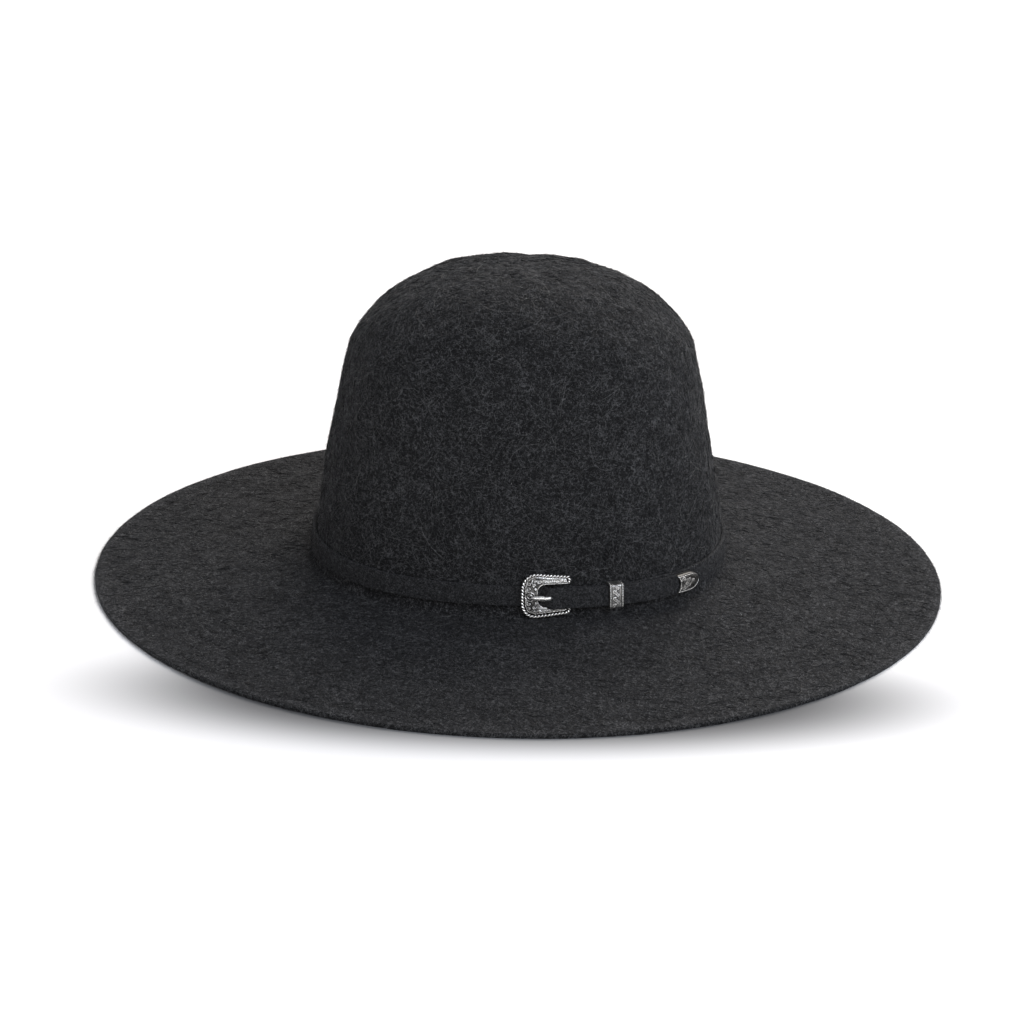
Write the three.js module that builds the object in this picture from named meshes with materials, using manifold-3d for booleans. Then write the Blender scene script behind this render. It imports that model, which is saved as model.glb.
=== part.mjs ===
// Open-crown hat of black long-hair felt with a wide, nearly flat brim.
// A narrow felt strap runs round the crown and closes at the wearer's left side
// with a metal set: buckle frame, prong, keeper loop and strap tip.
// Millimetres, +Z up. The front of the hat points along -X, the buckle side along -Y.
// The origin is on the surface that the hat rests on, under the middle of the brim.

import * as THREE from 'three';
import { mergeVertices } from 'three/addons/utils/BufferGeometryUtils.js';
import Module from 'manifold-3d';

const wasm = await Module();
wasm.setup();

// Crown, measured on the outside of the felt, its length and width where it meets the
// brim and its heights from there. The taper is how far its wall has drawn in all round
// at the shoulder, where the dome begins.
const CROWN_LENGTH = 209.5;
const CROWN_WIDTH = 173.3;
const CROWN_HEIGHT = 152.7;
const CROWN_TAPER = 16.4;
const SHOULDER_HEIGHT = 110.6;
const FELT_THICKNESS = 2.5;

// Brim: its reach is from the crown to the edge
const BRIM_REACH_ENDS = 111.7;
const BRIM_REACH_SIDES = 114.8;
const BRIM_RISE = 9.5;
const BRIM_LAND = 6;
const ROOT_RADIUS = 3.5;
const EDGE_ROUNDING = 0.5;

// Strap, and its thinned end that folds round the buckle's bar
const STRAP_HEIGHT = 9.8;
const STRAP_THICKNESS = 1.8;
const FOLD_THICKNESS = 0.8;
const FOLD_LENGTH = 12;

// Buckle frame and its bar
const BUCKLE_START = 1.3;
const BUCKLE_LENGTH = 24.2;
const BUCKLE_HEIGHT = 22.9;
const ARM_END_HEIGHT = 20;
const ARM_CORNER = 1.4;
const BOW_WIDTH = 8;
const BOW_CORNER_LENGTH = 7.5;
const BOW_CORNER_HEIGHT = 8.5;
const CORNER_PULL = 0.4;
const OPENING_PLAY = 1;
const OPENING_CORNER = 4;
const PLATE_THICKNESS = 1.8;
const ROPE_RADIUS = 0.95;
const ROPE_PITCH = 1.7;
const RELIEF_RADIUS = 0.42;
const BAR_RADIUS = 0.7;
const BAR_SETBACK = 8.8;

// Prong, the length of the hole that it passes through in the strap, and the share of the
// bow's width at which its end rests
const PRONG_HEIGHT = 2.1;
const PRONG_THICKNESS = 1.6;
const PRONG_HOLE = 4.3;
const PRONG_REST = 0.63;
const EYE_THICKNESS = 0.6;

// Keeper loop, with a raised rib along each edge
const KEEPER_START = 43.7;
const KEEPER_LENGTH = 7;
const KEEPER_WALL = 0.8;
const KEEPER_RIB = 0.9;
const RIB_HEIGHT = 0.35;
const BEAD_RADIUS = 0.45;
const BEAD_PITCH = 1.2;

// Strap tip: a cap that holds the narrowed end of the strap
const TIP_START = 80;
const TIP_LENGTH = 14;
const TIP_HEIGHT = 9.4;
const TIP_WALL = 0.8;
const TIP_SCALLOP = 1.6;
const TIP_INSERT = 8;

// Gap that touching pieces keep
const CLEARANCE = 0.3;

// Shape of the crown and brim
const OVAL_FULLNESS = 0.04;
const WALL_CURVE = 1.3;
const DOME_RUN = 1.67;
const DOME_ROUNDNESS = 2.93;
const BRIM_CURVE = 1.3;

// Fineness of the round shapes
const AROUND = 48;
const WALL_STEPS = 3;
const DOME_STEPS = 9;
const ROOT_STEPS = 3;
const BRIM_STEPS = 3;

const MERGE_DISTANCE = 0.0001;
const FULL_TURN = Math.PI * 2;
const QUARTER_TURN = Math.PI / 2;

const feltMaterial = new THREE.MeshStandardMaterial({ color: 0x1e1f22, roughness: 0.96, metalness: 0 });
const strapMaterial = new THREE.MeshStandardMaterial({ color: 0x25262a, roughness: 0.9, metalness: 0 });
const silverMaterial = new THREE.MeshStandardMaterial({ color: 0xc4c1b8, roughness: 0.34, metalness: 1 });

// Mean radius and stretch of the head oval and of the brim's edge
const crownRadius = (CROWN_LENGTH + CROWN_WIDTH) / 4;
const crownStretch = (CROWN_LENGTH - CROWN_WIDTH) / 4;
const brimRadius = crownRadius + (BRIM_REACH_ENDS + BRIM_REACH_SIDES) / 2;
const brimStretch = crownStretch + (BRIM_REACH_ENDS - BRIM_REACH_SIDES) / 2;

// Point of the plan: an oval that is fullest at the crown and an ellipse at the brim's edge
function ovalPoint(radius, angle) {
  const inward = Math.min(1, radius / crownRadius);
  const outward = Math.max(0, (radius - crownRadius) / (brimRadius - crownRadius));
  const stretch = crownStretch * inward + (brimStretch - crownStretch) * outward;
  const fullness = OVAL_FULLNESS * (inward - outward);
  const bulge = 1 + fullness * Math.sin(2 * angle) ** 2;
  const x = (radius + stretch) * bulge * Math.cos(angle);
  const y = (radius - stretch) * bulge * Math.sin(angle);
  return new THREE.Vector2(x, y);
}

// Crown wall: radius at a height above the brim, with the dome above the shoulder
const domeHeight = CROWN_HEIGHT - SHOULDER_HEIGHT;

function taperedRadius(height) {
  return crownRadius - CROWN_TAPER * (height / SHOULDER_HEIGHT) ** WALL_CURVE;
}

// Points of the wall lie closer together near the brim, where it bends most
function wallPoint(share, startHeight) {
  const height = startHeight + (SHOULDER_HEIGHT - startHeight) * share ** 1.5;
  return new THREE.Vector2(taperedRadius(height), height);
}

function domePoint(share) {
  const angle = share * QUARTER_TURN;
  const height = SHOULDER_HEIGHT + domeHeight * Math.sin(angle) ** (2 / DOME_RUN);
  const closing = share < 1 ? Math.cos(angle) ** (2 / DOME_ROUNDNESS) : 0;
  return new THREE.Vector2(taperedRadius(height) * closing, height);
}

// Slope of the brim where it leaves the crown, and the bend that joins the two
const rootHeight = FELT_THICKNESS + BRIM_RISE;
const landStart = brimRadius - BRIM_LAND;
const rootSlope = Math.atan(BRIM_CURVE * BRIM_RISE / (landStart - crownRadius - ROOT_RADIUS));
const bendTop = rootHeight + ROOT_RADIUS * Math.cos(rootSlope);
const wallStart = bendTop - rootHeight;

// How far the wall has drawn in at a height above the surface that the hat rests on
function wallRecess(height) {
  return crownRadius - taperedRadius(Math.max(wallStart, height - rootHeight));
}

// Section of the felt: the upper side from the top of the crown to the brim's edge,
// each point with the direction in which the underside lies
function feltLayers() {
  const upper = [];
  const lower = [];
  const addPair = (radius, height, inRadius, inHeight) => {
    upper.push(new THREE.Vector2(radius, height));
    lower.push(new THREE.Vector2(
      Math.max(0, radius + FELT_THICKNESS * inRadius),
      height + FELT_THICKNESS * inHeight,
    ));
  };
  const addCurve = (pointAt, from, to, steps) => {
    for (let step = 0; step < steps; step += 1) {
      const share = from + (to - from) * step / steps;
      const here = pointAt(share);
      const nudge = 0.001;
      const before = pointAt(Math.min(1, share + nudge));
      const after = pointAt(Math.max(0, share - nudge));
      const along = after.clone().sub(before).normalize();
      const atTop = here.x === 0;
      const inRadius = atTop ? 0 : along.y;
      const inHeight = atTop ? -1 : -along.x;
      addPair(here.x, rootHeight + here.y, inRadius, inHeight);
    }
  };
  addCurve(domePoint, 1, 0, DOME_STEPS);
  addCurve((share) => wallPoint(share, wallStart), 1, 0, WALL_STEPS);

  const bendRadius = taperedRadius(wallStart) + ROOT_RADIUS;
  const bendTurn = QUARTER_TURN - rootSlope;
  for (let step = 0; step <= ROOT_STEPS; step += 1) {
    const angle = Math.PI + bendTurn * step / ROOT_STEPS;
    const radius = bendRadius + ROOT_RADIUS * Math.cos(angle);
    const height = bendTop + ROOT_RADIUS * Math.sin(angle);
    addPair(radius, height, Math.cos(angle), Math.sin(angle));
  }

  const bendEnd = upper[upper.length - 1].x;
  for (let step = 1; step <= BRIM_STEPS; step += 1) {
    const share = step / BRIM_STEPS;
    const radius = bendEnd + (landStart - bendEnd) * share;
    const height = FELT_THICKNESS + BRIM_RISE * (1 - share) ** BRIM_CURVE;
    addPair(radius, height, 0, -1);
  }
  return { upper, lower };
}

function feltBody() {
  const { upper, lower } = feltLayers();
  const edge = [
    new THREE.Vector2(brimRadius - EDGE_ROUNDING, 0),
    new THREE.Vector2(brimRadius, EDGE_ROUNDING),
    new THREE.Vector2(brimRadius, FELT_THICKNESS - EDGE_ROUNDING),
    new THREE.Vector2(brimRadius - EDGE_ROUNDING, FELT_THICKNESS),
  ];
  const profile = [...lower, ...edge, ...upper.reverse()];
  const geometry = new THREE.LatheGeometry(profile, AROUND);
  geometry.rotateX(QUARTER_TURN);
  moveVertices(geometry, (vertex) => {
    const plan = ovalPoint(Math.hypot(vertex.x, vertex.y), Math.atan2(vertex.y, vertex.x));
    vertex.set(plan.x, plan.y, vertex.z);
  });
  return geometry;
}

function moveVertices(geometry, move) {
  const position = geometry.getAttribute('position');
  const vertex = new THREE.Vector3();
  for (let index = 0; index < position.count; index += 1) {
    vertex.fromBufferAttribute(position, index);
    move(vertex);
    position.setXYZ(index, vertex.x, vertex.y, vertex.z);
  }
}

// Closed solids for cuts and joins
function toSolid(geometry) {
  const bare = geometry.clone();
  bare.deleteAttribute('normal');
  bare.deleteAttribute('uv');
  const merged = mergeVertices(bare, MERGE_DISTANCE);
  return new wasm.Manifold(new wasm.Mesh({
    numProp: 3,
    vertProperties: new Float32Array(merged.getAttribute('position').array),
    triVerts: new Uint32Array(merged.index.array),
  }));
}

function toGeometry(solid) {
  const mesh = solid.getMesh();
  const geometry = new THREE.BufferGeometry();
  geometry.setAttribute('position', new THREE.BufferAttribute(mesh.vertProperties, 3));
  geometry.setIndex(new THREE.BufferAttribute(mesh.triVerts, 1));
  return geometry;
}

function joined(geometries) {
  return geometries.map(toSolid).reduce((whole, piece) => whole.add(piece));
}

// Foot of the crown wall, which the strap follows, measured from the middle of the
// buckle side towards the back of the hat
const wallLinePoints = [];
const wallLineSteps = 120;
for (let step = 0; step < wallLineSteps; step += 1) {
  const plan = ovalPoint(crownRadius, -QUARTER_TURN + FULL_TURN * step / wallLineSteps);
  wallLinePoints.push(new THREE.Vector3(plan.x, plan.y, 0));
}
const wallLine = new THREE.CatmullRomCurve3(wallLinePoints, true);
wallLine.arcLengthDivisions = 1200;
const wallLength = wallLine.getLength();

// Point a distance along the wall line and a level outside it
function bandSpot(along, level) {
  const share = THREE.MathUtils.euclideanModulo(along / wallLength, 1);
  const point = wallLine.getPointAt(share);
  const forward = wallLine.getTangentAt(share);
  return new THREE.Vector2(point.x + forward.y * level, point.y - forward.x * level);
}

// Heights of the buckle and the strap: the buckle just clears the brim, and it rides
// as high on the strap as the play in its opening lets it
const buckleLift = OPENING_PLAY - CLEARANCE;
const buckleMiddle = rootHeight + CLEARANCE + BUCKLE_HEIGHT / 2;
const strapMiddle = buckleMiddle - buckleLift;
const openingHeight = STRAP_HEIGHT + 2 * OPENING_PLAY;

// Bends a shape drawn flat, as along, up and outward, round the crown, leaning as the
// crown's wall does
function wrapRound(geometry, startAlong, middleHeight) {
  moveVertices(geometry, (vertex) => {
    const height = middleHeight + vertex.y;
    const plan = bandSpot(startAlong + vertex.x, vertex.z - wallRecess(height));
    vertex.set(plan.x, plan.y, height);
  });
  return geometry;
}

// Levels of the middle of each layer, outside the crown's wall
const halfStrap = STRAP_THICKNESS / 2;
const halfFold = FOLD_THICKNESS / 2;
const lowLevel = CLEARANCE + halfStrap;
const baseLevel = CLEARANCE + Math.max(FOLD_THICKNESS, KEEPER_WALL) + CLEARANCE + halfStrap;
const tailLevel = baseLevel + STRAP_THICKNESS + CLEARANCE;
const tipLevel = lowLevel + halfStrap + CLEARANCE + TIP_WALL + CLEARANCE + halfStrap;
const barLevel = CLEARANCE + FOLD_THICKNESS + CLEARANCE + BAR_RADIUS;
const turnRadius = BAR_RADIUS + CLEARANCE + halfFold;
const overBarLevel = barLevel + turnRadius + halfFold + CLEARANCE + halfStrap;
const plateBack = lowLevel + halfStrap + CLEARANCE;

// Places along the strap: it climbs out of the buckle's opening from just inside the bow
const barAlong = BUCKLE_START + BUCKLE_LENGTH - BAR_SETBACK;
const climbStart = BUCKLE_START + BOW_WIDTH + OPENING_CORNER * 0.45;
const keeperEnd = KEEPER_START + KEEPER_LENGTH;
const layerStep = tailLevel - lowLevel;

// Middle line of the strap from its folded end, round the bar, once round the crown
// and over itself to the tip
function strapStations() {
  const stations = [];
  const add = (along, level, thickness) => stations.push({ along, level, thickness });
  add(barAlong + FOLD_LENGTH, barLevel - turnRadius, FOLD_THICKNESS);
  add(barAlong + FOLD_LENGTH / 2, barLevel - turnRadius, FOLD_THICKNESS);
  const turnSteps = 8;
  for (let step = 0; step < turnSteps; step += 1) {
    const angle = QUARTER_TURN * 3 - Math.PI * step / turnSteps;
    const along = barAlong + turnRadius * Math.cos(angle);
    add(along, barLevel + turnRadius * Math.sin(angle), FOLD_THICKNESS);
  }
  const pastKeeper = keeperEnd + layerStep;
  const keys = [
    { along: barAlong, level: barLevel + turnRadius, thickness: FOLD_THICKNESS, steps: 8 },
    { along: barAlong + FOLD_LENGTH, level: baseLevel, steps: 5 },
    { along: pastKeeper, level: baseLevel, steps: 6 },
    { along: pastKeeper + layerStep * 5, level: lowLevel, steps: 60 },
    { along: wallLength + climbStart, level: lowLevel, steps: 8 },
    { along: wallLength + barAlong, level: overBarLevel, steps: 8 },
    { along: wallLength + barAlong + FOLD_LENGTH, level: tailLevel, steps: 5 },
    { along: wallLength + pastKeeper, level: tailLevel, steps: 6 },
    { along: wallLength + TIP_START, level: tipLevel, steps: 4 },
    { along: wallLength + TIP_START + TIP_INSERT, level: tipLevel, steps: 1 },
  ];
  keys.forEach((key, index) => {
    const next = keys[index + 1] ?? key;
    const thickness = key.thickness ?? STRAP_THICKNESS;
    for (let step = 0; step < key.steps; step += 1) {
      const share = step / key.steps;
      const ease = (1 - Math.cos(Math.PI * share)) / 2;
      add(
        THREE.MathUtils.lerp(key.along, next.along, share),
        THREE.MathUtils.lerp(key.level, next.level, ease),
        THREE.MathUtils.lerp(thickness, next.thickness ?? STRAP_THICKNESS, ease),
      );
    }
  });
  return stations;
}

// The strap as a long box whose rings of corners sit at the stations
function strapStrip() {
  const stations = strapStations();
  const steps = stations.length - 1;
  const strip = new THREE.BoxGeometry(1, STRAP_HEIGHT, 1, steps, 1, 1);
  moveVertices(strip, (vertex) => {
    const index = Math.round((vertex.x + 0.5) * steps);
    const here = stations[index];
    const before = stations[Math.max(0, index - 1)];
    const after = stations[Math.min(steps, index + 1)];
    const run = after.along - before.along;
    const climb = after.level - before.level;
    const offset = vertex.z * here.thickness / Math.hypot(run, climb);
    vertex.set(here.along - climb * offset, vertex.y, here.level + run * offset);
  });
  return wrapRound(strip, 0, strapMiddle);
}

// Slot for the prong's eye in the fold, and hole for the prong in the tail
const slotHeight = PRONG_HEIGHT + 2 * CLEARANCE;
const eyeInner = BAR_RADIUS + CLEARANCE;
const eyeOuter = eyeInner + EYE_THICKNESS;

// Narrow end of the strap inside the tip
const tipHalfHeight = TIP_HEIGHT / 2;
const pocketHalfHeight = tipHalfHeight - TIP_WALL;
const tongueHalfHeight = pocketHalfHeight - CLEARANCE;

function cutBox({ along, up, level, middleHeight }) {
  const [length, height, depth] = [along, up, level].map(([from, to]) => to - from);
  const geometry = new THREE.BoxGeometry(length, height, depth, 6, 1, 1);
  geometry.translate(along[0] + length / 2, up[0] + height / 2, level[0] + depth / 2);
  return toSolid(wrapRound(geometry, 0, middleHeight));
}

function bandStrap() {
  const foldTop = barLevel + turnRadius + halfFold + CLEARANCE / 2;
  const slotUp = [-slotHeight / 2, slotHeight / 2];
  const holeEnd = barAlong + PRONG_THICKNESS / 4 + CLEARANCE;
  const cuts = [
    {
      along: [barAlong - eyeOuter - CLEARANCE, barAlong + eyeOuter + CLEARANCE],
      up: slotUp, level: [0, foldTop], middleHeight: buckleMiddle,
    },
    {
      along: [holeEnd - PRONG_HOLE, holeEnd],
      up: slotUp, level: [0, overBarLevel + STRAP_THICKNESS], middleHeight: buckleMiddle,
    },
  ];
  for (const side of [-1, 1]) {
    const up = [side * tongueHalfHeight, side * STRAP_HEIGHT].sort((a, b) => a - b);
    cuts.push({
      along: [TIP_START - CLEARANCE, TIP_START + TIP_INSERT + STRAP_THICKNESS],
      up, level: [tipLevel - halfStrap - CLEARANCE, tipLevel + STRAP_THICKNESS],
      middleHeight: strapMiddle,
    });
  }
  return toGeometry(cuts.map(cutBox).reduce((strap, cut) => strap.subtract(cut), toSolid(strapStrip())));
}

// Outline of the buckle's C-shaped plate, drawn with the bow at the left
const halfBuckle = BUCKLE_HEIGHT / 2;
const halfArmEnd = ARM_END_HEIGHT / 2;
const halfOpening = openingHeight / 2;

// Upper half of the outer edge, from the middle of the bow to the end of the arm
function outerEdge(inset) {
  const path = new THREE.Path();
  const top = halfBuckle - inset;
  const end = BUCKLE_LENGTH - inset;
  const armTop = halfArmEnd - inset;
  path.moveTo(inset, 0);
  path.lineTo(inset, halfBuckle - BOW_CORNER_HEIGHT);
  path.bezierCurveTo(
    inset, top - BOW_CORNER_HEIGHT * CORNER_PULL,
    BOW_CORNER_LENGTH * CORNER_PULL, top,
    BOW_CORNER_LENGTH, top,
  );
  path.lineTo(end - ARM_CORNER, armTop);
  path.quadraticCurveTo(end, armTop, end, armTop - ARM_CORNER);
  path.lineTo(end, halfOpening + inset);
  return path;
}

function innerEdge() {
  const path = new THREE.Path();
  const corner = OPENING_CORNER;
  path.moveTo(BUCKLE_LENGTH, halfOpening);
  path.lineTo(BOW_WIDTH + corner, halfOpening);
  path.absarc(BOW_WIDTH + corner, halfOpening - corner, corner, QUARTER_TURN, Math.PI, false);
  path.lineTo(BOW_WIDTH, 0);
  return path;
}

function frameOutline() {
  const upper = [...outerEdge(ROPE_RADIUS / 2).getPoints(5), ...innerEdge().getPoints(5)];
  const points = [];
  const closest = CLEARANCE / 6;
  const add = (point) => {
    const last = points[points.length - 1];
    if (!last || last.distanceTo(point) > closest) points.push(point);
  };
  upper.forEach(add);
  const lower = upper.slice(1, -1).reverse().map((point) => new THREE.Vector2(point.x, -point.y));
  lower.forEach(add);
  return new THREE.Shape(points);
}

// Square-sided tube along a flat curve, its ends closed, that lies in the face of a plate
function flatTube(points, radii, level) {
  const steps = points.length - 1;
  const geometry = new THREE.CylinderGeometry(1, 1, 1, 4, steps);
  moveVertices(geometry, (vertex) => {
    const index = Math.round((vertex.y + 0.5) * steps);
    const before = points[Math.max(0, index - 1)];
    const after = points[Math.min(steps, index + 1)];
    const forward = after.clone().sub(before).normalize();
    const across = vertex.x * radii[index];
    vertex.set(
      points[index].x + forward.y * across,
      points[index].y - forward.x * across,
      level + vertex.z * radii[index],
    );
  });
  return geometry;
}

// Raised scroll: a spiral that is thickest in its middle and closes to an eye. It starts
// at an angle, and direction 1 winds to the left.
const SCROLL_STEPS = 8;
const SCROLL_TURNS = 1.2;
const SCROLL_EYE = 0.2;
const SCROLL_ENDS = 0.45;

function scroll({ middle, size, start, turns = SCROLL_TURNS, direction, level }) {
  const points = [];
  const radii = [];
  for (let step = 0; step <= SCROLL_STEPS; step += 1) {
    const share = step / SCROLL_STEPS;
    const angle = start + direction * turns * FULL_TURN * share;
    const reach = size * (1 - (1 - SCROLL_EYE) * share);
    points.push(new THREE.Vector2(
      middle.x + reach * Math.cos(angle),
      middle.y + reach * Math.sin(angle),
    ));
    radii.push(RELIEF_RADIUS * (SCROLL_ENDS + Math.sin(Math.PI * share) * (1 - SCROLL_EYE * share)));
  }
  return flatTube(points, radii, level);
}

// Place on the bow where the prong comes to rest
const bowSpot = BUCKLE_START + BOW_WIDTH * PRONG_REST;

// Scrolls on the upper half of the frame. Places and sizes are shares of the buckle's
// length, of half its height and of the arm's width; turns are counted round the eye.
const armWidth = halfBuckle - halfOpening;
const FRAME_SCROLLS = [
  { along: 0.20, up: 0.36, size: 0.36, start: 3.6, turns: 1.1, direction: -1 },
  { along: 0.27, up: 0.70, size: 0.40, start: 2.6, turns: 1.2, direction: 1 },
  { along: 0.50, up: 0.72, size: 0.34, start: 3.5, turns: 1.2, direction: -1 },
  { along: 0.70, up: 0.70, size: 0.30, start: 2.8, turns: 1.2, direction: 1 },
  { along: 0.87, up: 0.68, size: 0.24, start: 3.5, turns: 1.1, direction: -1 },
];

// Twisted rope that stands out along the plate's edge: each lump is longest across the
// rope, and slants. Its sizes are shares of the rope's radius and pitch.
const LUMP = { inset: 1, across: 1.2, along: 0.62, outward: 1.1, slant: 0.6 };
const plateFront = plateBack + PLATE_THICKNESS;

function ropeLumps() {
  const lumps = [];
  const edge = outerEdge(ROPE_RADIUS * LUMP.inset);
  const count = Math.round(edge.getLength() / ROPE_PITCH);
  for (let index = 0; index <= count; index += 1) {
    const spot = edge.getPointAt(index / count);
    const forward = edge.getTangentAt(index / count);
    for (const side of index > 0 ? [1, -1] : [1]) {
      const lump = new THREE.OctahedronGeometry(1);
      lump.scale(ROPE_RADIUS * LUMP.across, ROPE_PITCH * LUMP.along, ROPE_RADIUS * LUMP.outward);
      lump.rotateZ(Math.atan2(forward.y, forward.x) * side + QUARTER_TURN - LUMP.slant);
      lump.translate(spot.x, spot.y * side, plateFront - ROPE_RADIUS / 4);
      lumps.push(lump);
    }
  }
  return lumps;
}

function buckleFrame() {
  const plate = new THREE.ExtrudeGeometry(frameOutline(), {
    depth: PLATE_THICKNESS, bevelEnabled: false,
  });
  plate.translate(0, 0, plateBack);
  const pieces = [plate, ...ropeLumps()];

  for (const row of FRAME_SCROLLS) {
    for (const side of [1, -1]) {
      pieces.push(scroll({
        middle: new THREE.Vector2(row.along * BUCKLE_LENGTH, row.up * halfBuckle * side),
        size: row.size * armWidth,
        start: row.start * side,
        turns: row.turns,
        direction: row.direction * side,
        level: plateFront,
      }));
    }
  }

  // Round seat under the prong's end
  const seat = new THREE.CylinderGeometry(PRONG_HEIGHT * 0.75, PRONG_HEIGHT * 0.9, RELIEF_RADIUS, 12);
  seat.rotateX(QUARTER_TURN);
  seat.translate(bowSpot - BUCKLE_START, 0, plateFront + RELIEF_RADIUS / 3);
  pieces.push(seat);

  const barLength = openingHeight + armWidth;
  const bar = new THREE.CylinderGeometry(BAR_RADIUS, BAR_RADIUS, barLength, 12);
  bar.translate(barAlong - BUCKLE_START, 0, barLevel);
  pieces.push(bar);

  return toGeometry(joined(pieces.map((piece) => wrapRound(piece, BUCKLE_START, buckleMiddle))));
}

// Where the prong climbs from its eye through the strap: how far it has come from the
// bar, as a share of its thickness, and how much of the climb is done
const PRONG_CLIMB = [
  { back: 0.25, climb: 0 },
  { back: 0.6, climb: 0.5 },
  { back: 1.2, climb: 0.93 },
  { back: 2.1, climb: 1 },
];
const PRONG_END = { length: 0.1, slimmer: 0.45 };

// Prong: an eye round the bar and a rod that comes up through the tail and lies on the bow
function buckleProng() {
  const eyeShape = new THREE.Shape().absarc(0, 0, eyeOuter, 0, FULL_TURN, false);
  eyeShape.holes.push(new THREE.Path().absarc(0, 0, eyeInner, 0, FULL_TURN, true));
  const eyeHeight = PRONG_HEIGHT * 0.9;
  const eye = new THREE.ExtrudeGeometry(eyeShape, {
    depth: eyeHeight, bevelEnabled: false, curveSegments: 14,
  });
  eye.rotateX(-QUARTER_TURN);
  eye.translate(barAlong, -eyeHeight / 2, barLevel);

  const halfThickness = PRONG_THICKNESS / 2;
  const restLevel = plateFront + RELIEF_RADIUS + CLEARANCE + halfThickness;
  const crossLevel = overBarLevel + halfStrap + CLEARANCE;
  const hookLevel = barLevel + (eyeInner + eyeOuter) / 2;
  const line = new THREE.CatmullRomCurve3([
    ...PRONG_CLIMB.map(({ back, climb }) => new THREE.Vector3(
      barAlong - back * PRONG_THICKNESS, THREE.MathUtils.lerp(hookLevel, crossLevel, climb), 0,
    )),
    new THREE.Vector3((barAlong + bowSpot) / 2, (crossLevel + restLevel) / 2, 0),
    new THREE.Vector3(bowSpot, restLevel, 0),
  ]);
  const steps = 13;
  const rod = new THREE.CylinderGeometry(1, 1, 1, 8, steps);
  moveVertices(rod, (vertex) => {
    const share = vertex.y + 0.5;
    const spot = line.getPoint(share);
    const forward = line.getTangent(share);
    const endShare = Math.max(0, 1 - (1 - share) / PRONG_END.length);
    const slim = 1 - PRONG_END.slimmer * endShare ** 2;
    const across = vertex.x * halfThickness * slim;
    const up = vertex.z * PRONG_HEIGHT / 2 * slim;
    vertex.set(spot.x + forward.y * across, up, spot.y - forward.x * across);
  });
  const pieces = [eye, flipped(rod)];
  return toGeometry(joined(pieces.map((piece) => wrapRound(piece, 0, buckleMiddle))));
}

// Turns a shape that was drawn inside out the right way round
function flipped(geometry) {
  const index = geometry.index.array;
  for (let corner = 0; corner < index.length; corner += 3) {
    [index[corner], index[corner + 1]] = [index[corner + 1], index[corner]];
  }
  return geometry;
}

// Rounded rectangle, drawn as level and height about a middle
function roundedBox(halfWidth, halfHeight, corner, hole) {
  const path = hole ? new THREE.Path() : new THREE.Shape();
  const turn = QUARTER_TURN;
  path.absarc(halfWidth - corner, halfHeight - corner, corner, 0, turn, false);
  path.absarc(-halfWidth + corner, halfHeight - corner, corner, turn, 2 * turn, false);
  path.absarc(-halfWidth + corner, -halfHeight + corner, corner, 2 * turn, 3 * turn, false);
  path.absarc(halfWidth - corner, -halfHeight + corner, corner, 3 * turn, 4 * turn, false);
  path.closePath();
  return path;
}

// Keeper: a loop round both layers of the strap, with ribbed edges and a scroll
const loopBack = CLEARANCE;
const loopFront = tailLevel + halfStrap + CLEARANCE + KEEPER_WALL;
const loopHalfHeight = STRAP_HEIGHT / 2 + CLEARANCE + KEEPER_WALL;

// A stretch of the loop. Its front and edges can be raised, its back stays on the crown.
function loopRing(fromAlong, length, raised, wall) {
  const halfDepth = (loopFront - loopBack) / 2;
  const corner = KEEPER_WALL * 1.4;
  const outline = roundedBox(halfDepth + raised / 2, loopHalfHeight + raised, corner, false);
  outline.holes.push(roundedBox(halfDepth - wall, loopHalfHeight - wall, wall / 4, true));
  const ring = new THREE.ExtrudeGeometry(outline, {
    depth: length, bevelEnabled: false, curveSegments: 2,
  });
  moveVertices(ring, (vertex) => {
    const level = (loopFront + loopBack) / 2 + vertex.x;
    const offset = vertex.x > 0 ? raised / 2 : Math.max(0, loopBack - level);
    vertex.set(fromAlong + length - vertex.z, vertex.y, level + offset);
  });
  return ring;
}

// Scrolls on the keeper's front: their place is a share of the strap's height
const KEEPER_SCROLLS = [
  { up: 0.26, start: -1.2 },
  { up: -0.26, start: 1.9 },
];

function keeper() {
  const pieces = [loopRing(0, KEEPER_LENGTH, 0, KEEPER_WALL)];
  for (const start of [-RIB_HEIGHT / 2, KEEPER_LENGTH - KEEPER_RIB + RIB_HEIGHT / 2]) {
    pieces.push(loopRing(start, KEEPER_RIB, RIB_HEIGHT, KEEPER_WALL / 2));
  }
  const beads = Math.round(STRAP_HEIGHT / BEAD_PITCH);
  const beadAlong = KEEPER_RIB + BEAD_RADIUS * 1.5;
  for (let index = 0; index < beads; index += 1) {
    const up = STRAP_HEIGHT * ((index + 0.5) / beads - 0.5);
    for (const along of [beadAlong, KEEPER_LENGTH - beadAlong]) {
      const bead = new THREE.OctahedronGeometry(BEAD_RADIUS);
      bead.translate(along, up, loopFront);
      pieces.push(bead);
    }
  }
  for (const { up, start } of KEEPER_SCROLLS) {
    pieces.push(scroll({
      middle: new THREE.Vector2(KEEPER_LENGTH / 2, up * STRAP_HEIGHT),
      size: KEEPER_LENGTH / 5,
      start,
      direction: 1,
      level: loopFront,
    }));
  }
  return toGeometry(joined(pieces.map((piece) => wrapRound(piece, KEEPER_START, strapMiddle))));
}

// Strap tip: a flat cap with a round nose and a scalloped mouth
const tipBack = tipLevel - halfStrap - CLEARANCE - TIP_WALL;
const tipFront = tipLevel + halfStrap + CLEARANCE + TIP_WALL;

// Shares of the tip's steps before its nose, and of its height left at the nose's end:
// slender enough to close the nose, wide enough to keep an end face
const NOSE_START = 0.3;
const NOSE_END = 0.06;
const NOSE_POINT = 1.1;

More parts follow.
